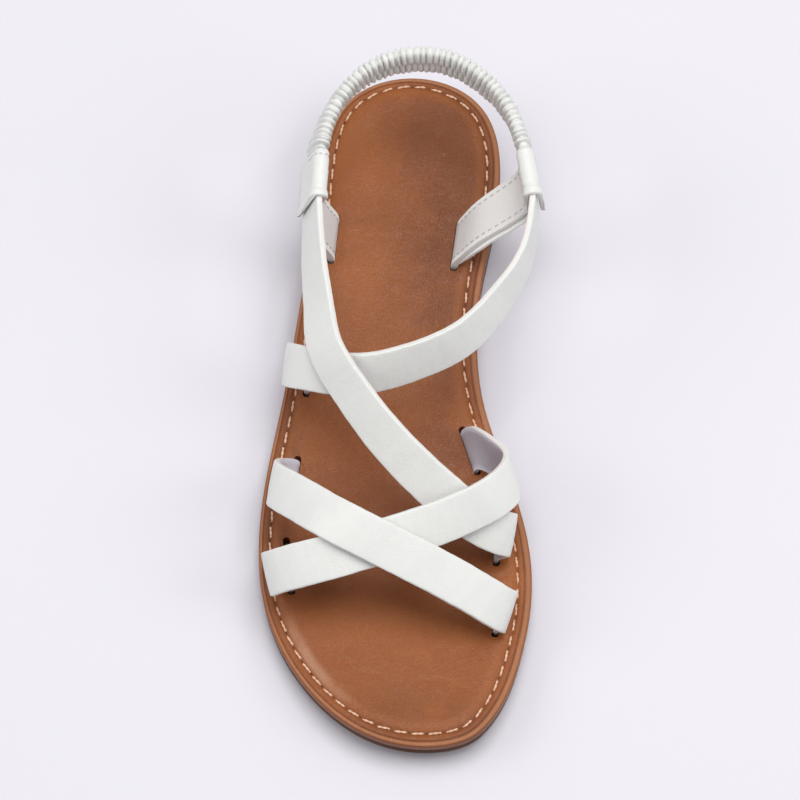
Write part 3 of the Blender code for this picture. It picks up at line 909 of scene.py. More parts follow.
@dataclass
class Stitching:
    """A row of two-ply stitches laid along a path.

    Attributes:
        pitch: from one stitch to the next.
        length: of one stitch.
        ply: radius of one ply.
        slant: how far each stitch turns from the row, in radians.
        uneven: spread of the stitches' length, as a share.
        stray: spread of their slant, in radians.
        sunk: how far a stitch's ends go down.
    """

    pitch: float = 0.0057
    length: float = 0.0046
    ply: float = 0.00023
    slant: float = 0.07
    uneven: float = 0.05
    stray: float = 0.03
    sunk: float = 0.0009

    def middles(self, total: float, shift: float = 0.5) -> Array:
        """Places along a path of a length, shifted by a share of a pitch."""
        count = max(1, int(round(total / self.pitch)))
        return (np.arange(count) + shift) * (total / count)

    def build(self, name: str, path: Array, normal: Array,
              lift: float = 0.0001, seed: int = 3) -> bpy.types.Object:
        """Two plies twisted round each other for each stitch, ends sunk.

        A ply's middle is the stitch's line plus a small turning circle, and
        its own ring of points goes round that; the height falls as the
        sixth power of the place along the stitch.

        Args:
            name: the object's name.
            path: points of the row, in order.
            normal: outward direction at each of them.
            lift: height of the stitch's middle over the path.
            seed: picks small differences between stitches.

        Returns:
            The new object.
        """
        chance = np.random.default_rng(seed)
        chord = travelled(path)
        middle = self.middles(chord[-1])
        count = len(middle)
        t = np.linspace(-1.0, 1.0, 13)
        spread = 1.0 + self.uneven * chance.standard_normal(count)
        at = middle[:, None] + t * self.length / 2.0 * spread[:, None]
        line = read_rows(at, chord, path)
        up = unit(read_rows(at, chord, normal))
        run = unit(np.gradient(line, axis=1))
        side = np.cross(up, run)
        turn = self.slant + self.stray * chance.standard_normal(count)
        slide = t * self.length / 2.0 * turn[:, None]
        sink = lift - self.sunk * t ** 6
        centre = line + side * slide[..., None] + up * sink[None, :, None]
        twist = 1.3 * math.pi * t + chance.uniform(0, 6.28, count)[:, None]
        around = circle(6)[:, None]
        rings = []
        for half_turn in (0.0, math.pi):
            c = np.cos(twist + half_turn)[..., None]
            s = np.sin(twist + half_turn)[..., None]
            ply = centre + self.ply * (0.80 * c * side + 0.40 * s * up)
            ring = (np.cos(around) * side[:, :, None]
                    + np.sin(around) * up[:, :, None])
            thin = (1.0 - 0.35 * t ** 8)[None, :, None, None]
            rings.append(ply[:, :, None] + self.ply * thin * ring)
        rings = np.concatenate(rings)
        return make_piece(name, rings.reshape(-1, 3),
                          tube_faces(*rings.shape[:3]))


def line_offsets(x: Array, y: Array, foot: Sequence[float], turn: float
                 ) -> tuple[Array, Array]:
    """Distances along and off a level line through a place.

    Args:
        x: places across the shoe.
        y: places along the shoe.
        foot: the line's own place.
        turn: its heading in radians from straight to the toe.

    Returns:
        Distance along the line and distance off it.
    """
    run = (math.sin(turn), -math.cos(turn))
    return ((x - foot[0]) * run[0] + (y - foot[1]) * run[1],
            (x - foot[0]) * -run[1] + (y - foot[1]) * run[0])


@dataclass
class Footbed:
    """Leather covered insole with a rolled rim, a padded middle and slots.

    Attributes:
        sole: outline and levels.
        section: inset and height from the edge inwards, in millimetres.
        grooves: stitch groove's inset at the heel, outer side, toe and
            inner side, in millimetres.
        folds: the same for the crease between the rim and its flat.
        ends: how far each slot runs on past its strap towards the heel and
            towards the toe, in millimetres.
        creases: share along and aside, length, turn, depth and width of
            each soft crease.
        fold_from: inset where the crease starts to shift, in millimetres.
        fold_at: the crease's inset in the section.
        groove_at: the stitch groove's inset in the section.
        middle_mark: mark of the points well inside the groove.
        hollow: depth and reach of the dip round each slot, in metres.
        swell: height, distance and reach of the raised line round it.
        play: share of the slots' side room at a strap and at a quarter.
        cutter_height: height of the blocks that cut the slots.
        hole_rings: radius and height of each ring of the dark disc of painted
        shade in a stitch hole.
    """

    sole: Sole
    section: Table = (
        (9.0, -4.20), (3.0, -4.20), (0.75, -4.18), (0.22, -3.95),
        (0.03, -3.50), (0.0, -2.70), (0.0, -1.80), (0.03, -1.15),
        (0.17, -0.72), (0.42, -0.46), (0.75, -0.30), (1.02, -0.27),
        (1.24, -0.32), (1.40, -0.42), (1.50, -0.45), (1.60, -0.40),
        (1.76, -0.28), (2.00, -0.15), (2.30, -0.05), (2.70, 0.00),
        (3.15, -0.05), (3.50, -0.16), (3.80, -0.32), (4.02, -0.43),
        (4.25, -0.48), (4.48, -0.41), (4.75, -0.24), (5.10, -0.02),
        (5.60, 0.24), (6.30, 0.50), (7.20, 0.68), (8.30, 0.78),
        (9.60, 0.80), (11.2, 0.76), (13.0, 0.70), (15.0, 0.64))
    grooves: tuple[float, float, float, float] = (3.6, 3.85, 4.75, 4.8)
    folds: tuple[float, float, float, float] = (1.7, 1.3, 2.0, 2.5)
    ends: Table = ((1.2, 1.9), (2.8, 1.6), (1.9, 1.4), (4.2, 1.6),
                   (1.9, 1.2), (1.2, 1.9), (1.2, 1.2), (1.2, 1.2))
    creases: Table = (
        (0.905, 0.14, 17.0, 80.0, 0.10, 1.3),
        (0.915, 0.20, 12.0, 84.0, 0.09, 1.1),
        (0.880, -0.22, 15.0, 64.0, 0.09, 1.2),
        (0.862, -0.27, 12.0, 58.0, 0.08, 1.1),
        (0.895, -0.12, 10.0, 70.0, 0.07, 1.0),
        (0.850, 0.24, 9.0, -50.0, 0.10, 1.0),
        (0.838, 0.27, 8.0, -38.0, 0.11, 0.9),
        (0.775, 0.02, 22.0, 12.0, 0.10, 1.6),
        (0.640, 0.04, 24.0, -8.0, 0.10, 1.6),
        (0.600, -0.12, 18.0, 14.0, 0.10, 1.4),
        (0.330, 0.06, 20.0, 8.0, 0.09, 1.5),
        (0.300, 0.16, 12.0, 30.0, 0.09, 1.1),
        (0.245, -0.24, 9.0, -70.0, 0.12, 1.0),
        (0.672, -0.41, 8.0, 62.0, 0.22, 1.1),
        (0.686, -0.40, 8.0, 78.0, 0.20, 1.0),
        (0.700, -0.37, 7.0, 52.0, 0.18, 1.0),
        (0.485, -0.38, 5.0, 80.0, 0.24, 1.2),
        (0.745, 0.36, 7.0, -60.0, 0.16, 1.1))
    fold_from: float = 0.42
    fold_at: float = 1.50
    groove_at: float = 4.25
    middle_mark: float = 20.0
    hollow: tuple[float, float] = (0.00042, 0.0017)
    swell: tuple[float, float, float] = (0.00014, 0.0036, 0.0016)
    play: tuple[float, float] = (0.9, 0.4)
    cutter_height: float = 0.06
    hole_rings: Table = ((0.00030, -0.0004), (0.00042, 0.00007),
                         (0.00016, 0.00002))

    def eased(self, values: tuple[float, float, float, float]) -> Array:
        """An inset all round, eased between its four given values."""
        angle = self.sole.angle
        heel, outer, toe, inner = values
        share = (1.0 - np.cos(angle)) / 2.0
        ends = heel * (1.0 - share) + toe * share
        side = np.where(angle < math.pi, outer, inner)
        weight = np.abs(np.sin(angle)) ** 0.8
        return ends * (1.0 - weight) + side * weight

    def slot_feet(self) -> list[tuple[Array, float, float, float]]:
        """Place, heading, thickness and width of every strap slot."""
        sizes = self.sole.sizes
        strap = (sizes.strap_thick, sizes.strap_width)
        quarter = (sizes.quarter_thick, sizes.quarter_width)
        rows = ((STRAP_A, -1, strap), (STRAP_B, -1, strap),
                (STRAP_C, 0, strap), (STRAP_C, -1, strap),
                (STRAP_D, 0, strap), (STRAP_D, -1, strap),
                (QUARTER_MEDIAL, 0, quarter), (QUARTER_LATERAL, 0, quarter))
        return [(places(table, self.sole)[k], math.radians(table[k][3]),
                 *size) for table, k, size in rows]

    def relief(self, x: Array, y: Array) -> Array:
        """Soft hollows at the slots and creases, plus slow unevenness.

        Each is a bell curve of the distance from a short line.
        """
        height = 0.00010 * wander(y + 0.6 * x, 0.050, 5)
        height = height + 0.00006 * wander(x - 0.4 * y, 0.019, 8)
        dip, dip_reach = self.hollow
        rise, ring, ring_reach = self.swell
        for foot, turn, thick, width in self.slot_feet():
            along, off = line_offsets(x, y, foot, turn)
            over = np.maximum(np.abs(along) - width / 2.0, 0.0)
            far = np.hypot(over, np.maximum(np.abs(off) - thick / 2.0, 0.0))
            height = height - dip * bell(far, dip_reach)
            height = height + rise * bell(far - ring, ring_reach)
        sizes = self.sole.sizes
        for share, side, long, turn, deep, wide in self.creases:
            middle = (side * sizes.ball, sizes.back - share * sizes.length)
            along, off = line_offsets(x, y, middle, math.radians(turn))
            off = off + 0.0006 * np.sin(along * 520.0)
            over = np.maximum(np.abs(along) - 0.0005 * long, 0.0)
            near = bell(over, 0.002)
            off = off / (0.001 * wide)
            height = height - 0.001 * deep * near * (
                bell(off) - 0.5 * bell(off - 1.4))
        return height

    def build_board(self) -> bpy.types.Object:
        """The insole as rings from its underside over the rim to its middle.

        Returns:
            The solid, before its slots are cut.
        """
        sole = self.sole
        rows = np.array(self.section)
        inset = rows[:, :1] + np.zeros((1, sole.count))
        fold = self.eased(self.folds)[None]
        rise = ramp(inset, self.fold_from, self.fold_at)
        fall = ramp(inset, self.groove_at, self.fold_at)
        bent = np.minimum(rise, fall) * (fold - self.fold_at)
        bent[:3] = 0.0
        inset = inset + bent
        weight = ramp(rows[:, :1], 1.9, 4.0)
        weight[:3] = 0.0
        inset = inset + weight * (self.eased(self.grooves)[None]
                                  - self.groove_at)
        ring = sole.loop[None] + sole.inward[None] * inset[..., None] / 1000.0
        z = sole.top(ring[..., 1]) + rows[:, 1:2] / 1000.0
        level = np.linspace(0.0, 1.0, 40)[1:] ** 0.9
        middle = sole.disc(ring, level)
        z_mid = sole.top(middle[..., 1]) + rows[-1, 1] / 1000.0
        low = sole.disc(ring[:1], np.array([1.0]))
        z_low = sole.top(low[..., 1]) - sole.sizes.bed
        xy = np.concatenate([low, ring, middle])
        z = np.concatenate([z_low, z, z_mid])
        mark = np.concatenate([[6.0], rows[:, 0],
                               np.full(len(level), self.middle_mark)])
        mark = mark[:, None] + np.zeros((1, sole.count))
        mark[1:4] = -0.5
        pad = ramp(mark, 3.0, 6.0)
        z = z + pad * self.relief(xy[..., 0], xy[..., 1]) * (mark > 1.0)
        return sole.shell("footbed_leather", xy, z, {"inset": mark})

    def slot_cutter(self, foot: Array, turn: float, size: Point
                    ) -> bpy.types.Object:
        """An upright block with rounded ends at one slot.

        Args:
            foot: the block's middle.
            turn: its heading in radians.
            size: its thickness, width and height.

        Returns:
            The block, to be removed after the cut.
        """
        tidy = bmesh.new()
        place = (Matrix.Translation(foot) @ Matrix.Rotation(turn, 4, "Z")
                 @ Matrix.Diagonal((*size, 1.0)))
        bmesh.ops.create_cube(tidy, size=1.0, matrix=place)
        upright = [e for e in tidy.edges
                   if abs((e.verts[0].co - e.verts[1].co).z) > size[2] / 2.0]
        bmesh.ops.bevel(tidy, geom=upright, offset=size[0] * 0.42,
                        segments=4, profile=0.5, affect="EDGES")
        mesh = bpy.data.meshes.new("slot_cutter")
        tidy.to_mesh(mesh)
        tidy.free()
        cutter = bpy.data.objects.new("slot_cutter", mesh)
        bpy.context.scene.collection.objects.link(cutter)
        return cutter

    def cut_slots(self, board: bpy.types.Object) -> None:
        """Cut every slot in turn, each with its own block."""
        sizes = self.sole.sizes
        cutters = []
        for slot, ends in zip(self.slot_feet(), self.ends):
            foot, turn, thick, width = slot
            heel, toe = 0.001 * ends[0], 0.001 * ends[1]
            run = np.array([math.sin(turn), -math.cos(turn), 0.0])
            side = self.play[0 if thick == sizes.strap_thick else 1]
            size = (thick + side * sizes.slot_side, width + heel + toe,
                    self.cutter_height)
            cutters.append(self.slot_cutter(
                foot + run * (toe - heel) / 2.0, turn, size))
            change = board.modifiers.new("slot", "BOOLEAN")
            change.operation = "DIFFERENCE"
            change.solver = "EXACT"
            change.object = cutters[-1]
        graph = bpy.context.evaluated_depsgraph_get()
        cut = bpy.data.meshes.new_from_object(board.evaluated_get(graph))
        board.modifiers.clear()
        board.data = cut
        for cutter in cutters:
            bpy.data.objects.remove(cutter)
        cut.set_sharp_from_angle(angle=math.radians(65.0))
        self.mark_slots(cut)

    def mark_slots(self, cut: bpy.types.Mesh) -> None:
        """Give the points that the cuts made the middle's mark.

        Args:
            cut: the insole's mesh, whose new points have no mark yet.
        """
        count = len(cut.vertices)
        points = np.zeros(3 * count)
        cut.vertices.foreach_get("co", points)
        x, y = points.reshape(-1, 3)[:, :2].T
        marks = np.zeros(count)
        cut.attributes["inset"].data.foreach_get("value", marks)
        for foot, turn, thick, width in self.slot_feet():
            along, off = line_offsets(x, y, foot, turn)
            near = ((np.abs(along) < width / 2.0 + 0.0046)
                    & (np.abs(off) < 0.85 * thick))
            marks[near] = self.middle_mark
        cut.attributes["inset"].data.foreach_set("value", marks)

    def stitch_line(self) -> tuple[Array, Array]:
        """Path of the stitches in the groove, and straight up at each."""
        sole = self.sole
        inset = self.eased(self.grooves)[:, None] / 1000.0
        xy = sole.loop + sole.inward * inset
        xy = np.vstack([xy, xy[:1]])
        z = sole.top(xy[:, 1]) - 0.00048
        path = np.column_stack([xy, z])
        return path, np.tile([0.0, 0.0, 1.0], (len(path), 1))

    def build_stitches(self) -> tuple[bpy.types.Object, bpy.types.Object]:
        """The stitches round the rim, and between each two a small dark disc
        of painted shade for the stitch hole.

        Returns:
            The stitches and the dark discs of painted shade in the holes.
        """
        path, up = self.stitch_line()
        row = Stitching()
        stitches = row.build("footbed_stitches", path, up, lift=0.00024)
        chord = travelled(path)
        at = row.middles(chord[-1], 1.0) % chord[-1]
        centre = read_rows(at, chord, path)[:, None]
        turn = circle(8)
        disc = np.stack([np.cos(turn), np.sin(turn), 0.0 * turn], -1)
        rings = np.stack([centre + disc * radius + [0.0, 0.0, height]
                          for radius, height in self.hole_rings], 1)
        # Dark discs of painted shade in the stitch holes.
        holes = make_piece("footbed_hole_shade", rings.reshape(-1, 3),
                           tube_faces(*rings.shape[:3]))
        return stitches, holes

    def dress(self, materials: dict[str, bpy.types.Material]) -> None:
        """Build the insole, its stitches and the painted shade of their holes,
        and give each a finish.
        """
        board = self.build_board()
        self.cut_slots(board)
        stitches, holes = self.build_stitches()
        for item, finish in ((board, "footbed"), (stitches, "thread"),
                             (holes, "hole")):
            finish_piece(item, materials[finish])
            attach(item, "root")
        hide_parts("footbed")


@dataclass
class Outsole:
    """Moulded sole with a ribbed side, a low heel and a grooved tread.

    Attributes:
        sole: outline and levels.
        section: inset in millimetres and share of the thickness, from the
            tread's edge up the side.
        grooves: place of each tread groove as a share of the length.
        ribs: number of fine ribs up the side.
        rib_depth: half the depth of a rib, in millimetres.
        groove_depth: depth and half width of a tread groove, in metres.
        tread_half: half the length of a tread groove.
        tread_fade: how far its depth fades out at its ends.
    """

    sole: Sole
    section: Table = (
        (12.0, 0.00), (5.0, 0.00), (2.6, 0.00), (1.5, 0.00), (0.95, 0.03),
        (0.45, 0.09), (0.25, 0.16), (0.25, 0.24), (0.25, 0.32),
        (0.25, 0.40), (0.25, 0.48), (0.42, 0.51), (0.67, 0.55),
        (0.67, 0.58), (0.42, 0.61), (0.25, 0.64), (0.25, 0.70),
        (0.25, 0.77), (0.28, 0.84), (0.55, 0.885), (1.05, 0.92),
        (1.10, 1.00), (3.0, 1.00), (12.0, 1.00))
    grooves: tuple[float, ...] = (
        0.045, 0.075, 0.105, 0.165, 0.195, 0.225, 0.590, 0.620, 0.650,
        0.680, 0.740, 0.770)
    ribs: float = 14.0
    rib_depth: float = 0.05
    groove_depth: float = 0.0009
    tread_half: float = 0.026
    tread_fade: float = 0.003

    def build(self) -> bpy.types.Object:
        """The sole as rings from the middle of its tread over its side.

        Tread grooves are soft troughs across the shoe, short of the edge.

        Returns:
            The new object.
        """
        sole = self.sole
        rows = np.array(self.section)
        fine = np.linspace(0.0, len(rows) - 1.0, 3 * len(rows) - 2)
        knots = np.arange(len(rows))
        inset = np.interp(fine, knots, rows[:, 0])
        share = np.interp(fine, knots, rows[:, 1])
        side = (share > 0.12) & (share < 0.86)
        inset = inset + self.rib_depth * side * (
            1.0 - np.cos(share * 2 * math.pi * self.ribs))
        ring = (sole.loop[None]
                + sole.inward[None] * inset[:, None, None] / 1000.0)
        low = sole.under(ring[..., 1])
        high = sole.top(ring[..., 1]) - sole.sizes.bed - sole.sizes.gap
        z = low + share[:, None] * (high - low)
        level = np.linspace(0.0, 1.0, 22)[1:]
        tread = sole.disc(ring[:1], level)[::-1]
        z_tread = sole.under(tread[..., 1])
        z_tread = z_tread + self.tread_depth(tread)
        lid = sole.disc(ring[-1:], np.array([0.5, 1.0]))
        z_lid = (sole.top(lid[..., 1]) - sole.sizes.bed - sole.sizes.gap)
        xy = np.concatenate([tread, ring, lid])
        z = np.concatenate([z_tread, z, z_lid])
        return sole.shell("outsole_rubber", xy, z)

    def tread_depth(self, xy: Array) -> Array:
        """Height of the tread's relief: a bell curve for each groove."""
        share = self.sole.share(xy[..., 1])
        half = np.abs(xy[..., 0] - self.sole.middle_line(xy[..., 1]))
        depth = np.zeros(share.shape)
        for groove in self.grooves:
            depth = np.maximum(depth, bell(
                (share - groove) * self.sole.sizes.length,
                self.groove_depth))
        return self.groove_depth * depth * ramp(self.tread_half - half, 0.0,
                                                self.tread_fade)

    def dress(self, materials: dict[str, bpy.types.Material]) -> None:
        """Build the sole and give it its finish."""
        item = self.build()
        item.data.set_sharp_from_angle(angle=math.radians(60.0))
        finish_piece(item, materials["outsole"])
        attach(item, "root")
        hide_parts("outsole")


class End(Enum):
    """The end of a strap that goes down into a slot."""

    FIRST = 0
    LAST = -1


@dataclass
class Ribbon:
    """A flat leather band: a middle line, a way across and an outer face.

    Attributes:
        middle: points along it.
        across: from its rear edge to its front edge, at each point.
        width: at each point.
        thick: its thickness.
        crown: how far its outer face bulges.
        outer_edge: largest radius of its outer edges.
        inner_edge: radius of its inner edges.
        edge_wave: height and pitch of the unevenness of its edges.
        face_wave: the same for its outer face.
        tilt_wave: the same for a slow twist of that face.
        thin: share of the thickness that is left at each point.
        outward: direction of its outer face, worked out for each point.
    """

    middle: Array
    across: Array
    width: Array
    thick: float
    crown: float = 0.00018
    outer_edge: float = 0.00062
    inner_edge: float = 0.00022
    edge_wave: tuple[float, float] = (0.00007, 0.014)
    face_wave: tuple[float, float] = (0.00009, 0.017)
    tilt_wave: tuple[float, float] = (0.00006, 0.009)
    thin: Optional[Array] = None
    outward: Array = field(init=False)

    def __post_init__(self) -> None:
        """Find the outward direction from the run and the way across.

        It points away from the line where the foot's middle would be.
        """
        self.across = unit(self.across)
        run = unit(np.gradient(self.middle, axis=0))
        self.outward = unit(np.cross(run, self.across))
        foot = self.middle * [0.0, 1.0, 0.0] + [0.0, 0.0, FOOT_HEIGHT]
        if np.sum((self.middle - foot) * self.outward) < 0.0:
            self.outward = -self.outward

    def section(self) -> Array:
        """One ring round the band, from the middle of its inner face.

        Half a ring goes over an inner face, an edge and an outer face, and
        the rest is its mirror image.

        Returns:
            Rows of the side as a share of half the width, side and outward
            offsets in metres, and the layer mark.
        """
        h = self.thick / 2.0
        r = min(self.outer_edge, 0.62 * h)
        q = self.inner_edge
        flat = np.linspace(0.0, 1.0, 5)
        face = np.linspace(1.0, 0.0, 7)[1:]
        low, high = (np.linspace(0.0, math.pi / 2.0, n) for n in (3, 5))
        share = np.concatenate([flat, np.ones(10), face])
        side = np.concatenate([-q * flat, q * np.sin(low) - q, [0.0, 0.0],
                               r * np.cos(high) - r, -r * face])
        out = np.concatenate([
            np.full(5, -h), q - h - q * np.cos(low), [-0.42 * h, 0.0],
            h - r + r * np.sin(high), h + self.crown * (1.0 - face ** 2)])
        layer = np.concatenate([np.ones(5), [0.90, 0.82, 0.74, 0.66, 0.5],
                                np.linspace(0.40, 0.05, 5), np.zeros(6)])
        half = np.stack([share, side, out, layer])
        mirror = half[:, -2:0:-1] * [[-1.0], [-1.0], [1.0], [1.0]]
        return np.concatenate([half, mirror], 1)

    def surface(self, seed: int) -> tuple[Array, Array]:
        """Rings of points round the band, with slightly uneven edges.

        A point is the middle, plus the way across times its side, plus
        outwards times its height.

        Args:
            seed: picks the unevenness.

        Returns:
            The rings and the layer mark of each point.
        """
        share, side, out, layer = self.section()
        at = travelled(self.middle)
        edge, face, tilt = (
            height * wander(at, pitch, seed + k)[:, None]
            for k, (height, pitch) in enumerate(
                (self.edge_wave, self.face_wave, self.tilt_wave)))
        s = (self.width[:, None] / 2.0 + edge) * share[None] + side[None]
        wave = (face * (1.0 - np.abs(share)[None] ** 3)
                + tilt * share[None])
        t = out[None] + wave * (out[None] > 0.0)
        if self.thin is not None:
            t = t * self.thin[:, None]
        points = (self.middle[:, None]
                  + self.across[:, None] * s[..., None]
                  + self.outward[:, None] * t[..., None])
        return points, np.broadcast_to(layer, s.shape)

    def piece(self, name: str, seed: int, layers: float = 1.0
              ) -> bpy.types.Object:
        """The band's solid.

        Args:
            name: the object's name.
            seed: picks the unevenness.
            layers: scales the layer mark, to keep the lining off it.

        Returns:
            The new object.
        """
        points, layer = self.surface(seed)
        return tube_piece(name, points, {"layer": layer * layers})

    def line(self, side: float, height: float) -> Array:
        """Points along the band at a side from its middle and a height."""
        return (self.middle + self.across * side
                + self.outward * height)


def into_slot(middle: Array, across: Array, sole: Sole,
              end: End) -> tuple[Array, Array]:
    """Add upright points that take a strap's end down through the insole.

    Args:
        middle: points along the strap.
        across: its way across at each.
        sole: the sole that it enters.
        end: which of its ends goes down.

    Returns:
        The longer points and ways across.
    """
    foot = middle[end.value]
    sizes = sole.sizes
    flat = unit(across[end.value] * [1.0, 1.0, 0.0])
    reach = foot[1] + np.array([-0.5, 0.0, 0.5]) * sizes.quarter_width
    low = sole.top(reach).max() - sizes.bed + sizes.gap
    z = np.linspace(low, foot[2] - sizes.drop, SLOT_ROWS)
    down = np.column_stack([np.tile(foot[:2], (SLOT_ROWS, 1)), z])
    flats = np.tile(flat, (SLOT_ROWS, 1))
    if end is End.LAST:
        return np.vstack([middle, down[::-1]]), np.vstack([across, flats])
    return np.vstack([down, middle]), np.vstack([flats, across])


@dataclass
class SleeveFrame:
    """Where a sleeve sits: its mouth, its way back and its up."""

    mouth: Array
    back: Array
    up: Array

    @classmethod
    def between(cls, strap: Table, ring_end: Array,
                sole: Sole) -> "SleeveFrame":
        """The frame from a strap's start to an end of the heel strap."""
        mouth = places(strap, sole)[0]
        back = unit(ring_end - mouth)
        up = -headings(strap)[0]
        return cls(mouth, back, unit(up - back * float(up @ back)))

    @property
    def side(self) -> Array:
        """Direction square to the sleeve's way back and its up."""
        return unit(np.cross(self.back, self.up))

    def place(self, depth: float, height: float) -> Array:
        """Point on the middle plane, from the mouth and the strap middle."""
        return self.mouth + self.back * depth + self.up * height


@dataclass
class CrossStraps:
    """The four straps of the upper, laid over each other in their order.

    Attributes:
        sole: levels for their paths.
        medial: frame of the arch side sleeve.
        lateral: frame of the outer side sleeve.
        rows: points along a strap.
        tongue: how far a strap reaches into its sleeve.
        tongue_width: its width there.
        clear: strap thicknesses between two straps that cross.
        beside: how near a place below has to be to count.
        under: how far below a strap is still looked at.
    """

    sole: Sole
    medial: SleeveFrame
    lateral: SleeveFrame
    rows: int = 230
    tongue: float = 0.0070
    tongue_width: float = 0.0085
    clear: float = 1.02
    beside: float = 0.0022
    under: float = 0.006

    def ribbon(self, table: Table, sleeve: Optional[SleeveFrame]) -> Ribbon:
        """One strap as a ribbon from its table.

        Args:
            table: the strap's rows.
            sleeve: the sleeve that holds its rear end, if one does.

        Returns:
            The ribbon.
        """
        sizes = self.sole.sizes
        middle, across = resampled(places(table, self.sole),
                                   headings(table), self.rows)
        if sleeve is None:
            middle, across = into_slot(middle, across, self.sole, End.FIRST)
            width = np.full(len(middle), sizes.strap_width)
        else:
            share = np.linspace(1.0, 0.02, TONGUE_ROWS)
            least = self.tongue_width / sizes.strap_width
            wide = sizes.strap_width * np.interp(
                share, [0.0, 0.34, 0.62, 1.0], [1.0, 0.84, least, least])
            inside = [sleeve.place(self.tongue * s,
                                   (sizes.strap_width - w) / 2.0)
                      for s, w in zip(share, wide)]
            middle = np.vstack([inside, middle])
            across = np.vstack([np.tile(-sleeve.up, (TONGUE_ROWS, 1)),
                                across])
            width = np.concatenate([wide, np.full(self.rows,
                                                  sizes.strap_width)])
        middle, across = into_slot(middle, across, self.sole, End.LAST)
        width = np.concatenate([width, np.full(len(middle) - len(width),
                                               sizes.strap_width)])
        middle = softened(middle, 1.4)
        across = softened(across, 2.0)
        return Ribbon(middle, across, width, sizes.strap_thick)

    def lay_on(self, upper: Ribbon, lower: Ribbon) -> None:
        """Lift an upper strap's two edges clear of the strap under it.

        A lane's lift is what the nearest place below still lacks of one
        strap's thickness. Each edge takes the most that its half needs,
        widened and softened along the strap.

        Args:
            upper: the strap that is lifted.
            lower: the strap that stays.
        """
        sizes = self.sole.sizes
        lanes = np.linspace(-0.5, 0.5, 9)
        low = (lower.middle[:, None] + lower.across[:, None]
               * (lanes[None, :, None] * sizes.strap_width))
        normal = np.broadcast_to(lower.outward[:, None], low.shape)
        low = low.reshape(-1, 3)
        normal = normal.reshape(-1, 3)
        needs = []
        for lane in lanes:
            line = upper.line(lane * sizes.strap_width, 0.0)
            away = line[:, None] - low[None]
            near = np.argmin(np.sum(away * away, -1), 1)
            pick = away[np.arange(len(line)), near]
            high = np.sum(pick * normal[near], 1)
            side = np.linalg.norm(pick - high[:, None] * normal[near],
                                  axis=1)
            short = np.maximum(self.clear * sizes.strap_thick - high, 0.0)
            needs.append(np.where((side < self.beside)
                                  & (high > -self.under), short, 0.0))
        need = np.array(needs)
        rear = softened(widest(need[:5].max(0), 6), 9.0)
        front = softened(widest(need[4:].max(0), 6), 9.0)
        lift = upper.outward * (rear + front)[:, None] / 2.0
        tilt = upper.outward * (front - rear)[:, None]
        upper.middle = upper.middle + lift
        upper.across = unit(upper.across * sizes.strap_width + tilt)
        upper.__post_init__()

    def dress(self, materials: dict[str, bpy.types.Material]) -> None:
        """Build the four straps, lay them on each other and finish them."""
        a = self.ribbon(STRAP_A, self.lateral)
        b = self.ribbon(STRAP_B, self.medial)
        c = self.ribbon(STRAP_C, None)
        d = self.ribbon(STRAP_D, None)
        self.lay_on(a, b)
        self.lay_on(c, a)
        self.lay_on(d, c)
        for seed, (name, band) in enumerate((
                ("strap_outer_to_inner", a), ("strap_inner_to_outer", b),
                ("toe_strap_under", c), ("toe_strap_over", d))):
            item = band.piece(name, 10 * seed + 1)
            finish_piece(item, materials["strap"])
            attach(item, "root")
        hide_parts("upper_straps")


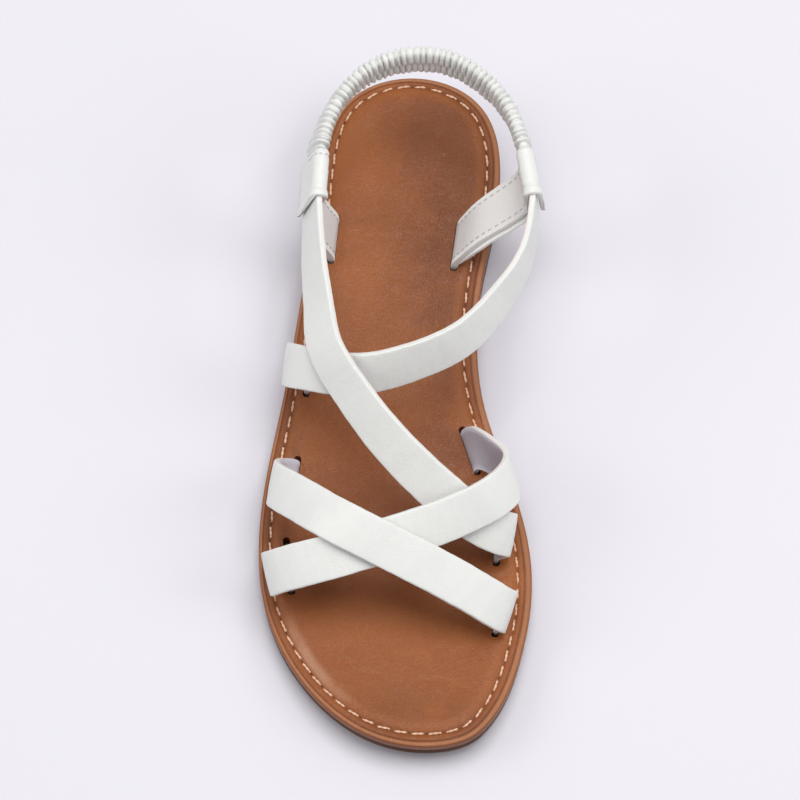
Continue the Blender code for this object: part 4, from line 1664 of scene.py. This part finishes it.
@dataclass
class Quarter:
    """A short upright band from its slot up over its sleeve's inner wall.

    Attributes:
        name: of the piece.
        node: the CAD node that it stands for.
        table: its rows.
        sleeve: the sleeve's frame.
        sole: levels for its path.
        inner: sign of the foot's side along the sleeve's side direction.
        rows: points along it.
        centre: its top's middle as a share of the sleeve's length.
        top_width: width of its top.
        edge: from its edges to its seams.
        tops: height and way towards the foot of its path in the sleeve.
        turned: rows that its turned end covers.
        proud: how far the turned end stands off it and is wider.
        opening: how far the turned end's upper part leans away.
        forward: how far the turned end is shifted to the front.
    """

    name: str
    node: str
    table: Table
    sleeve: SleeveFrame
    sole: Sole
    inner: float
    rows: int = 110
    centre: float = 0.53
    top_width: float = 0.0150
    edge: float = 0.0019
    tops: Table = ((-0.0092, 0.0031), (-0.0050, 0.0025), (0.0000, 0.0023),
                   (0.0050, 0.0019), (0.0078, 0.0011))
    turned: tuple[int, int] = (10, 74)
    proud: float = 0.0004
    opening: float = 0.0014
    forward: float = 0.0010

    def ribbon(self) -> Ribbon:
        """The band as a ribbon that thins over the sleeve's inner wall."""
        sizes = self.sole.sizes
        depth = sizes.gap + sizes.sleeve_length * self.centre
        side = self.inner * self.sleeve.side
        tops = [self.sleeve.place(depth, height) + side * off
                for height, off in self.tops]
        middle = np.vstack([places(self.table, self.sole)[:3], tops])
        back = np.tile(-self.sleeve.back, (len(tops), 1))
        across = np.vstack([headings(self.table)[:3], back])
        middle, across = resampled(middle, across, self.rows)
        share = np.linspace(0.0, 1.0, self.rows)
        middle, across = into_slot(middle, across, self.sole, End.FIRST)
        share = np.concatenate([np.zeros(len(middle) - self.rows), share])
        width = sizes.quarter_width + share * (self.top_width
                                               - sizes.quarter_width)
        thin = np.interp(share, [0.0, 0.45, 0.72, 1.0],
                         [1.0, 1.0, 0.52, 0.30])
        middle = softened(middle, 3.0)
        across = softened(across, 3.0)
        return Ribbon(middle, across, width, sizes.quarter_thick,
                      crown=0.00010, thin=thin)

    def flap(self, band: Ribbon) -> Ribbon:
        """The turned end sewn to the band's outer side, under the sleeve."""
        sizes = self.sole.sizes
        keep = slice(*self.turned)
        count = keep.stop - keep.start
        start = np.minimum(1.0, np.linspace(0.0, 2.4, count))[:, None]
        out = band.outward[keep] * (0.5 * sizes.quarter_thick
                                    * band.thin[keep])[:, None]
        out = out + band.outward[keep] * self.proud * start
        ease = np.linspace(0.0, 1.0, count)[:, None] ** 3
        side = -self.inner * self.sleeve.side
        middle = (band.middle[keep] + out + side * ease * self.opening
                  + band.across[keep] * self.forward * start)
        width = band.width[keep] + self.proud * start[:, 0]
        ends = np.minimum(1.0, 0.25 + np.linspace(0.0, 5.0, count))
        return Ribbon(middle, band.across[keep], width, 0.0013,
                      crown=0.0003, thin=ends)

    def dress(self, materials: dict[str, bpy.types.Material]) -> None:
        """Build the band, its turned end and the seams on both faces."""
        band = self.ribbon()
        item = band.piece(self.name, 71)
        finish_piece(item, materials["quarter"])
        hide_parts(self.node)
        flap = self.flap(band).piece(self.name + "_turned_end", 77, 0.4)
        finish_piece(flap, materials["quarter"])
        pieces = [item, flap]
        row = Stitching(pitch=0.0026, length=0.0019, ply=0.00013, slant=0.03)
        for face, keep in ((-1.0, slice(8, 96)), (1.0, slice(8, 60))):
            for side in (-1.0, 1.0):
                inset = side * (band.width / 2.0 - self.edge)[:, None]
                path = (band.middle + band.across * inset
                        + band.outward * face * (band.thin * 0.5)[:, None]
                        * self.sole.sizes.quarter_thick)
                label = "%s_seam_%s_%s" % (
                    self.name, "out" if face > 0 else "in",
                    "front" if side > 0 else "rear")
                seam = row.build(label, path[keep],
                                 band.outward[keep] * face, lift=0.0001)
                finish_piece(seam, materials["grey_thread"])
                pieces.append(seam)
        for item in pieces:
            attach(item, "root")


@dataclass
class Sleeve:
    """A folded leather sleeve: an upside down U along the heel strap.

    Attributes:
        name: of the piece.
        node: the CAD node that it stands for.
        at: its frame.
        sizes: the shoe's sizes.
        outer: sign of its outer wall along its own side direction.
        mouth_lean: how far the outer wall's foot reaches forward.
        seam_depth: how far behind the mouth its stitches lie.
        puff: extra swell of its fold in metres.
        seam_drop: how far its stitches run down below the fold.
        hem: swell of the hem at its mouth.
        dip: how far its seam and its rear end are pulled in.
        pucker: height of its soft puckers.
    """

    name: str
    node: str
    at: SleeveFrame
    sizes: ShoeSizes
    outer: float
    mouth_lean: float = 0.0
    seam_depth: float = 0.0032
    puff: float = 0.0
    seam_drop: float = 0.006
    hem: float = 0.00070
    dip: float = 0.00030
    pucker: float = 0.00012

    @property
    def half(self) -> float:
        """Half of its outer width."""
        return (self.sizes.quarter_thick / 2.0 + self.sizes.gap
                + self.sizes.sleeve_wall)

    def base(self, depth: float) -> Array:
        """Top of its fold on the middle plane, at a depth from its front."""
        return self.at.place(self.sizes.gap + depth,
                             self.sizes.strap_width / 2.0 + self.sizes.gap
                             + self.sizes.sleeve_wall)

    def arch(self, radius: float, low: float, leg: int, fold: int) -> Array:
        """Points up one leg, round over the fold and down the other leg.

        Args:
            radius: half the width between the legs.
            low: height of the legs' ends, from the top of the fold.
            leg: points on a leg.
            fold: points over the fold.

        Returns:
            Side and height of each point.
        """
        turn = np.linspace(0.0, math.pi, fold)
        up = np.linspace(low, -self.half, leg + 1)[:-1]
        x = np.concatenate([np.full(leg, radius), radius * np.cos(turn),
                            np.full(leg, -radius)])
        z = np.concatenate([up, radius * np.sin(turn) - self.half, up[::-1]])
        return np.stack([x, z], 1)

    def profile(self) -> tuple[Array, Array, Array]:
        """Closed ring: outer skin over the fold, then the inner skin back.

        Returns:
            Side and height in metres, and the layer mark.
        """
        sizes = self.sizes
        low = sizes.sleeve_lift - (sizes.sleeve_wall + sizes.gap
                                   + sizes.strap_width)
        lip = sizes.sleeve_wall / 2.0
        turn = np.linspace(math.pi, 0.0, 7)[1:-1]
        lips = np.stack([lip * np.cos(turn),
                         low - 0.6 * lip * np.sin(turn)], 1)
        aside = np.array([self.half - lip, 0.0])
        outer = self.arch(self.half, low, 11, 15)
        inner = self.arch(self.half - sizes.sleeve_wall, low, 5, 9)[::-1]
        x, z = np.concatenate([outer, lips - aside, inner, lips + aside]).T
        layer = np.concatenate([np.zeros(len(outer)), np.full(len(lips), 0.5),
                                np.ones(len(inner)),
                                np.full(len(lips), 0.5)])
        return x, z, layer

    def build(self) -> bpy.types.Object:
        """The sleeve as rings back along its frame.

        The skin swells at a hem by the mouth, dips in soft puckers between
        and tucks in at its rear end.

        Returns:
            The new object.
        """
        sizes = self.sizes
        x, z, layer = self.profile()
        share = np.linspace(0.0, 1.0, 60)
        depth = share * sizes.sleeve_length
        hem = np.exp(-((depth - 0.0012) / 0.0012) ** 6)
        seam = bell(depth - self.seam_depth, 0.0005)
        tail = bell(sizes.sleeve_length - depth, 0.0007)
        skin = layer < 0.3
        swell = (self.hem * hem - self.dip * seam - self.dip * tail
                 + self.puff * (1.0 - hem) * (1.0 - tail))
        pucker = self.pucker * wander(depth, 0.006, 21)[:, None] * np.sin(
            z * 900.0 + 6.0 * share[:, None])
        centre = np.array([0.0, -0.0035])
        ray = unit(np.stack([x - centre[0], (z - centre[1]) * 0.25], -1))
        grow = (swell[:, None] + pucker) * skin[None]
        px = x[None] + ray[None, :, 0] * grow
        pz = z[None] + ray[None, :, 1] * grow
        down = ramp(-z, 0.0, 0.016)
        lean = self.mouth_lean * down * ramp(self.outer * x, 0.0, 0.002)
        lean = lean - 0.0012 * down ** 8
        along = depth[:, None] - lean[None] * (1.0 - share[:, None]) ** 2
        points = (self.base(0.0) + self.at.back * along[..., None]
                  + self.at.side * px[..., None]
                  + self.at.up * pz[..., None])
        return tube_piece(self.name, points,
                          {"layer": np.broadcast_to(layer, px.shape)})

    def seam(self) -> bpy.types.Object:
        """Short stitches over the fold, where its seam dips."""
        x, z = self.arch(self.half, -self.half - self.seam_drop, 11, 24).T
        nx = x / self.half
        nz = np.maximum(z / self.half + 1.0, 0.0)
        path = (self.base(self.seam_depth) + self.at.side * x[:, None]
                + self.at.up * z[:, None])
        normal = self.at.side * nx[:, None] + self.at.up * nz[:, None]
        row = Stitching(pitch=0.0019, length=0.0013, ply=0.00011,
                        slant=0.04)
        return row.build(self.name + "_seam", path, normal, lift=0.0)

    def dress(self, materials: dict[str, bpy.types.Material]) -> None:
        """Build the sleeve and its seam and give each its finish."""
        item = self.build()
        finish_piece(item, materials["sleeve"])
        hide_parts(self.node)
        seam = self.seam()
        finish_piece(seam, materials["grey_thread"])
        for piece in (item, seam):
            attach(piece, "root")


@dataclass
class HeelStrap:
    """A leather tube gathered over elastic into soft upright folds.

    Attributes:
        sole: levels for its path.
        ends: the lateral and the medial sleeve frames.
        folds: number of gathers.
        fine: rows in each gather.
        seam: height of the sewn line on the inner face, over the middle.
        seam_pull: how far the sewn line pulls the skin in, and its reach.
        lobes: depth of the gathers above the seam, and below it inside.
        spread: unevenness of the gathers' size.
        corner: power that makes the band's section a rounded box.
        core: half thickness and half height of the plain ends.
        core_lift: height of the plain ends' middle over the strap's.
        core_depths: how far each of their rings lies inside the sleeve.
    """

    sole: Sole
    ends: tuple[SleeveFrame, SleeveFrame]
    folds: int = 50
    fine: int = 16
    seam: float = 0.0008
    seam_pull: tuple[float, float] = (0.0014, 0.0008)
    lobes: tuple[float, float] = (0.0018, 0.0016)
    spread: float = 0.22
    corner: float = 0.62
    core: tuple[float, float] = (0.0010, 0.0042)
    core_lift: float = 0.0030
    core_depths: tuple[float, ...] = (0.0055, 0.0030, 0.0006)

    def path(self) -> tuple[Array, Array, Array]:
        """Middle, outward and up directions along the band."""
        lean = np.radians(np.array(HEEL_RING, float)[:, 3:4])
        count = self.folds * self.fine + 1
        middle, lean = resampled(places(HEEL_RING, self.sole), lean, count)
        run = unit(np.gradient(middle, axis=0))
        flat = unit(run * [1.0, 1.0, 0.0])
        outward = np.stack([-flat[:, 1], flat[:, 0], 0.0 * flat[:, 0]], 1)
        upright = np.array([0.0, 0.0, 1.0])
        up = upright * np.cos(lean) - outward * np.sin(lean)
        up = unit(up - run * np.sum(up * run, 1, keepdims=True))
        return middle, unit(np.cross(up, run)), up

    def build(self) -> bpy.types.Object:
        """The band as rings: a rounded flat section times a row of lobes.

        Each gather is a half circle lobe along the band. Above the seam it
        bulges over the top, below it sits half a gather along as a knob,
        and the seam pulls the skin in.

        Returns:
            The new object.
        """
        sizes = self.sole.sizes
        middle, outward, up = self.path()
        rows = len(middle)
        chance = np.random.default_rng(11)
        phase = np.arange(rows) / self.fine
        jitter = 0.13 * wander(phase, 3.1, 31) + 0.05 * wander(phase, 1.3, 7)
        turn = circle(48)
        cosine, sine = (np.sign(wave) * np.abs(wave) ** self.corner
                        for wave in (np.cos(turn), np.sin(turn)))
        height = sine * (sizes.ruche_height / 2.0 - 0.0001)
        height = height + 0.0009 * ramp(sine)
        depth = cosine * sizes.ruche_thick / 2.0
        slant = (0.10 * height / 0.006)[None] * (
            0.6 + wander(phase, 9.0, 5)[:, None])
        at = phase[:, None] + jitter[:, None] + slant
        inner = ramp(-np.cos(turn) * 1.6)[None]
        below = ramp(self.seam - height, 0.0, 0.0006)[None]
        shift = 0.5 * inner * below
        lobe = np.abs(np.sin(math.pi * (at + shift))) ** 0.60
        size = 1.0 + self.spread * chance.standard_normal(self.folds + 2)[
            np.floor(at + 0.5).astype(int) % (self.folds + 2)]
        deep = np.where(below * inner > 0.5, self.lobes[1], self.lobes[0])
        pull, reach = self.seam_pull
        near = bell(height - self.seam, reach)[None] * inner
        grow = (deep * size * (lobe - 0.62) * (1.0 - 0.6 * near)
                - pull * near)
        skirt = 1.0 - 0.16 * inner * below
        direction = unit(np.stack([cosine * 1.2, sine * 0.9], -1))
        d = depth[None] * skirt + direction[None, :, 0] * grow
        h = height[None] + direction[None, :, 1] * grow
        end = np.minimum(np.arange(rows), np.arange(rows)[::-1])
        tuck = ramp(end, 0.0, 1.3 * self.fine)[:, None]
        tuck = tuck * tuck * (3.0 - 2.0 * tuck)
        tuck = 0.62 + 0.38 * tuck
        points = (middle[:, None] + outward[:, None] * (d * tuck)[..., None]
                  + up[:, None] * (h * (0.25 + 0.75 * tuck))[..., None])
        points = np.concatenate([
            self.plain_end(self.ends[0], -1.0, turn), points,
            self.plain_end(self.ends[1], 1.0, turn)[::-1]])
        return tube_piece("heel_strap_gathers", points,
                          {"layer": np.zeros(points.shape[:2])})

    def plain_end(self, sleeve: SleeveFrame, sense: float, turn: Array
                  ) -> Array:
        """Rings of the plain end inside a sleeve, from its front back.

        Args:
            sleeve: the sleeve's frame.
            sense: sign of the band's outward along the sleeve's side.
            turn: angles of a ring's points.

        Returns:
            The rings.
        """
        sizes = self.sole.sizes
        thick, tall = self.core
        ring = (sense * sleeve.side * (np.cos(turn) * thick)[:, None]
                + sleeve.up * (np.sin(turn) * tall)[:, None])
        return np.array([
            sleeve.place(sizes.gap + sizes.sleeve_length - depth,
                         self.core_lift) + ring
            for depth in self.core_depths])

    def dress(self, materials: dict[str, bpy.types.Material]) -> None:
        """Build the gathered band and give it its finish."""
        item = self.build()
        finish_piece(item, materials["gathers"])
        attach(item, "root")
        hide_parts("heel_strap")


@dataclass(frozen=True)
class Studio:
    """Pale floor, soft lights and the photograph's point of view.

    Attributes:
        aim: point of the shoe that the camera looks at.
        eye: the camera's place.
        lit: point that the lights are aimed at.
        lens: focal length on a 36 mm sensor.
        shift: small sideways and upward shift that centres the one shoe.
        floor_colour: of the paper that the shoe stands on.
    """

    aim: Point = (0.0, -0.092, 0.010)
    eye: Point = (0.0, -0.7499, 1.5232)
    lit: Point = (0.0, -0.08, 0.0)
    lens: float = 220.05
    shift: tuple[float, float] = (-0.015, 0.021)
    floor_colour: Colour = (0.735, 0.715, 0.765, 1.0)

    def camera(self) -> None:
        """Create the camera and make it the scene's own."""
        data = bpy.data.cameras.new("camera")
        data.lens = self.lens
        data.sensor_width = 36.0
        data.shift_x, data.shift_y = self.shift
        data.clip_start = 0.05
        bpy.context.scene.camera = aimed("camera", data, self.eye, self.aim)

    def light(self, name: str, place: Point, size: float, power: float
              ) -> None:
        """A square soft light aimed at the shoe.

        Args:
            name: the light's name.
            place: where it stands.
            size: its side in metres.
            power: in watts.
        """
        data = bpy.data.lights.new(name, "AREA")
        data.energy = power
        data.size = size
        aimed(name, data, place, self.lit)

    def floor(self) -> None:
        """A wide pale floor, with a faint unevenness in its tone."""
        size = 6.0
        points = np.array([(-size, -size, 0.0), (size, -size, 0.0),
                           (size, size, 0.0), (-size, size, 0.0)])
        item = make_piece("floor", points, [[0, 1, 2, 3]])
        material = bpy.data.materials.new("floor_paper")
        material.use_nodes = True
        nodes = Nodes(material.node_tree)
        place = nodes.add("ShaderNodeTexCoord").outputs["Object"]
        colour = nodes.mix(nodes.noise(place, 0.12), self.floor_colour,
                           dimmed(self.floor_colour, 0.985))
        shader = material.node_tree.nodes["Principled BSDF"]
        nodes.tree.links.new(colour, shader.inputs["Base Color"])
        shader.inputs["Roughness"].default_value = 0.85
        shader.inputs["Specular IOR Level"].default_value = 0.2
        item.data.materials.append(material)

    def build(self) -> None:
        """Make the camera, the floor, the lights and the pale surround."""
        self.camera()
        self.floor()
        self.light("key", (0.16, 0.10, 1.50), 1.0, 15.9)
        self.light("left", (-1.05, -0.15, 0.75), 0.7, 4.2)
        self.light("right", (1.05, -0.25, 0.80), 0.7, 4.2)
        world = bpy.data.worlds.new("surround")
        world.use_nodes = True
        back = world.node_tree.nodes["Background"]
        back.inputs["Color"].default_value = (0.96, 0.96, 1.0, 1.0)
        back.inputs["Strength"].default_value = 0.37
        bpy.context.scene.world = world
        bpy.context.scene.view_settings.view_transform = "Standard"


def finishes() -> dict[str, bpy.types.Material]:
    """Every material of the shoe, by its plain name."""
    groups = Groups(leather_grain(), uneven_tone())
    found = {
        "strap": StrapLeather("white_strap_leather"),
        "quarter": StrapLeather("white_quarter_leather", raw_share=0.15,
                                lining=(0.765, 0.742, 0.715, 1.0)),
        "sleeve": StrapLeather("white_sleeve_leather"),
        "gathers": StrapLeather("white_gathered_leather", roughness=0.42),
        "footbed": FootbedLeather("tan_footbed_leather"),
        "thread": PlainFinish(
            "peach_thread", (0.80, 0.53, 0.37, 1.0), (0.70, 0.43, 0.29, 1.0),
            (0.86, 0.62, 0.46, 1.0), 0.6, 3800.0),
        "grey_thread": PlainFinish(
            "grey_thread", (0.52, 0.50, 0.50, 1.0), (0.42, 0.40, 0.40, 1.0),
            (0.62, 0.60, 0.60, 1.0), 0.7, 3800.0),
        # Painted shade: the colour of the dark discs in the stitch holes.
        "hole": PlainFinish(
            "stitch_hole_shade", (0.07, 0.024, 0.012, 1.0),
            (0.05, 0.018, 0.01, 1.0), (0.09, 0.03, 0.016, 1.0), 0.8),
        "outsole": PlainFinish(
            "brown_sole", (0.125, 0.054, 0.026, 1.0),
            (0.100, 0.043, 0.021, 1.0), (0.160, 0.073, 0.037, 1.0),
            0.62, 1800.0, 0.00008)}
    return {key: finish.build(groups) for key, finish in found.items()}


def main() -> None:
    """Build the studio and the shoe, piece by piece, in order."""
    logging.basicConfig(level=logging.INFO, format="%(name)s %(message)s")
    Studio().build()
    materials = finishes()
    sole = Sole(SIZES)
    ring = places(HEEL_RING, sole)
    lateral = SleeveFrame.between(STRAP_A, ring[0], sole)
    medial = SleeveFrame.between(STRAP_B, ring[-1], sole)
    Outsole(sole).dress(materials)
    Footbed(sole).dress(materials)
    CrossStraps(sole, medial, lateral).dress(materials)
    Quarter("quarter_inner", "quarter_medial", QUARTER_MEDIAL, medial,
            sole, -1.0).dress(materials)
    Quarter("quarter_outer", "quarter_lateral", QUARTER_LATERAL, lateral,
            sole, 1.0).dress(materials)
    Sleeve("sleeve_inner", "sleeve_medial", medial, SIZES, 1.0, 0.0014,
           puff=0.0005).dress(materials)
    Sleeve("sleeve_outer", "sleeve_lateral", lateral, SIZES, -1.0, 0.0036,
           SIZES.sleeve_length - 0.0020, 0.0002).dress(materials)
    HeelStrap(sole, (lateral, medial)).dress(materials)


if __name__ == "__main__":
    main()
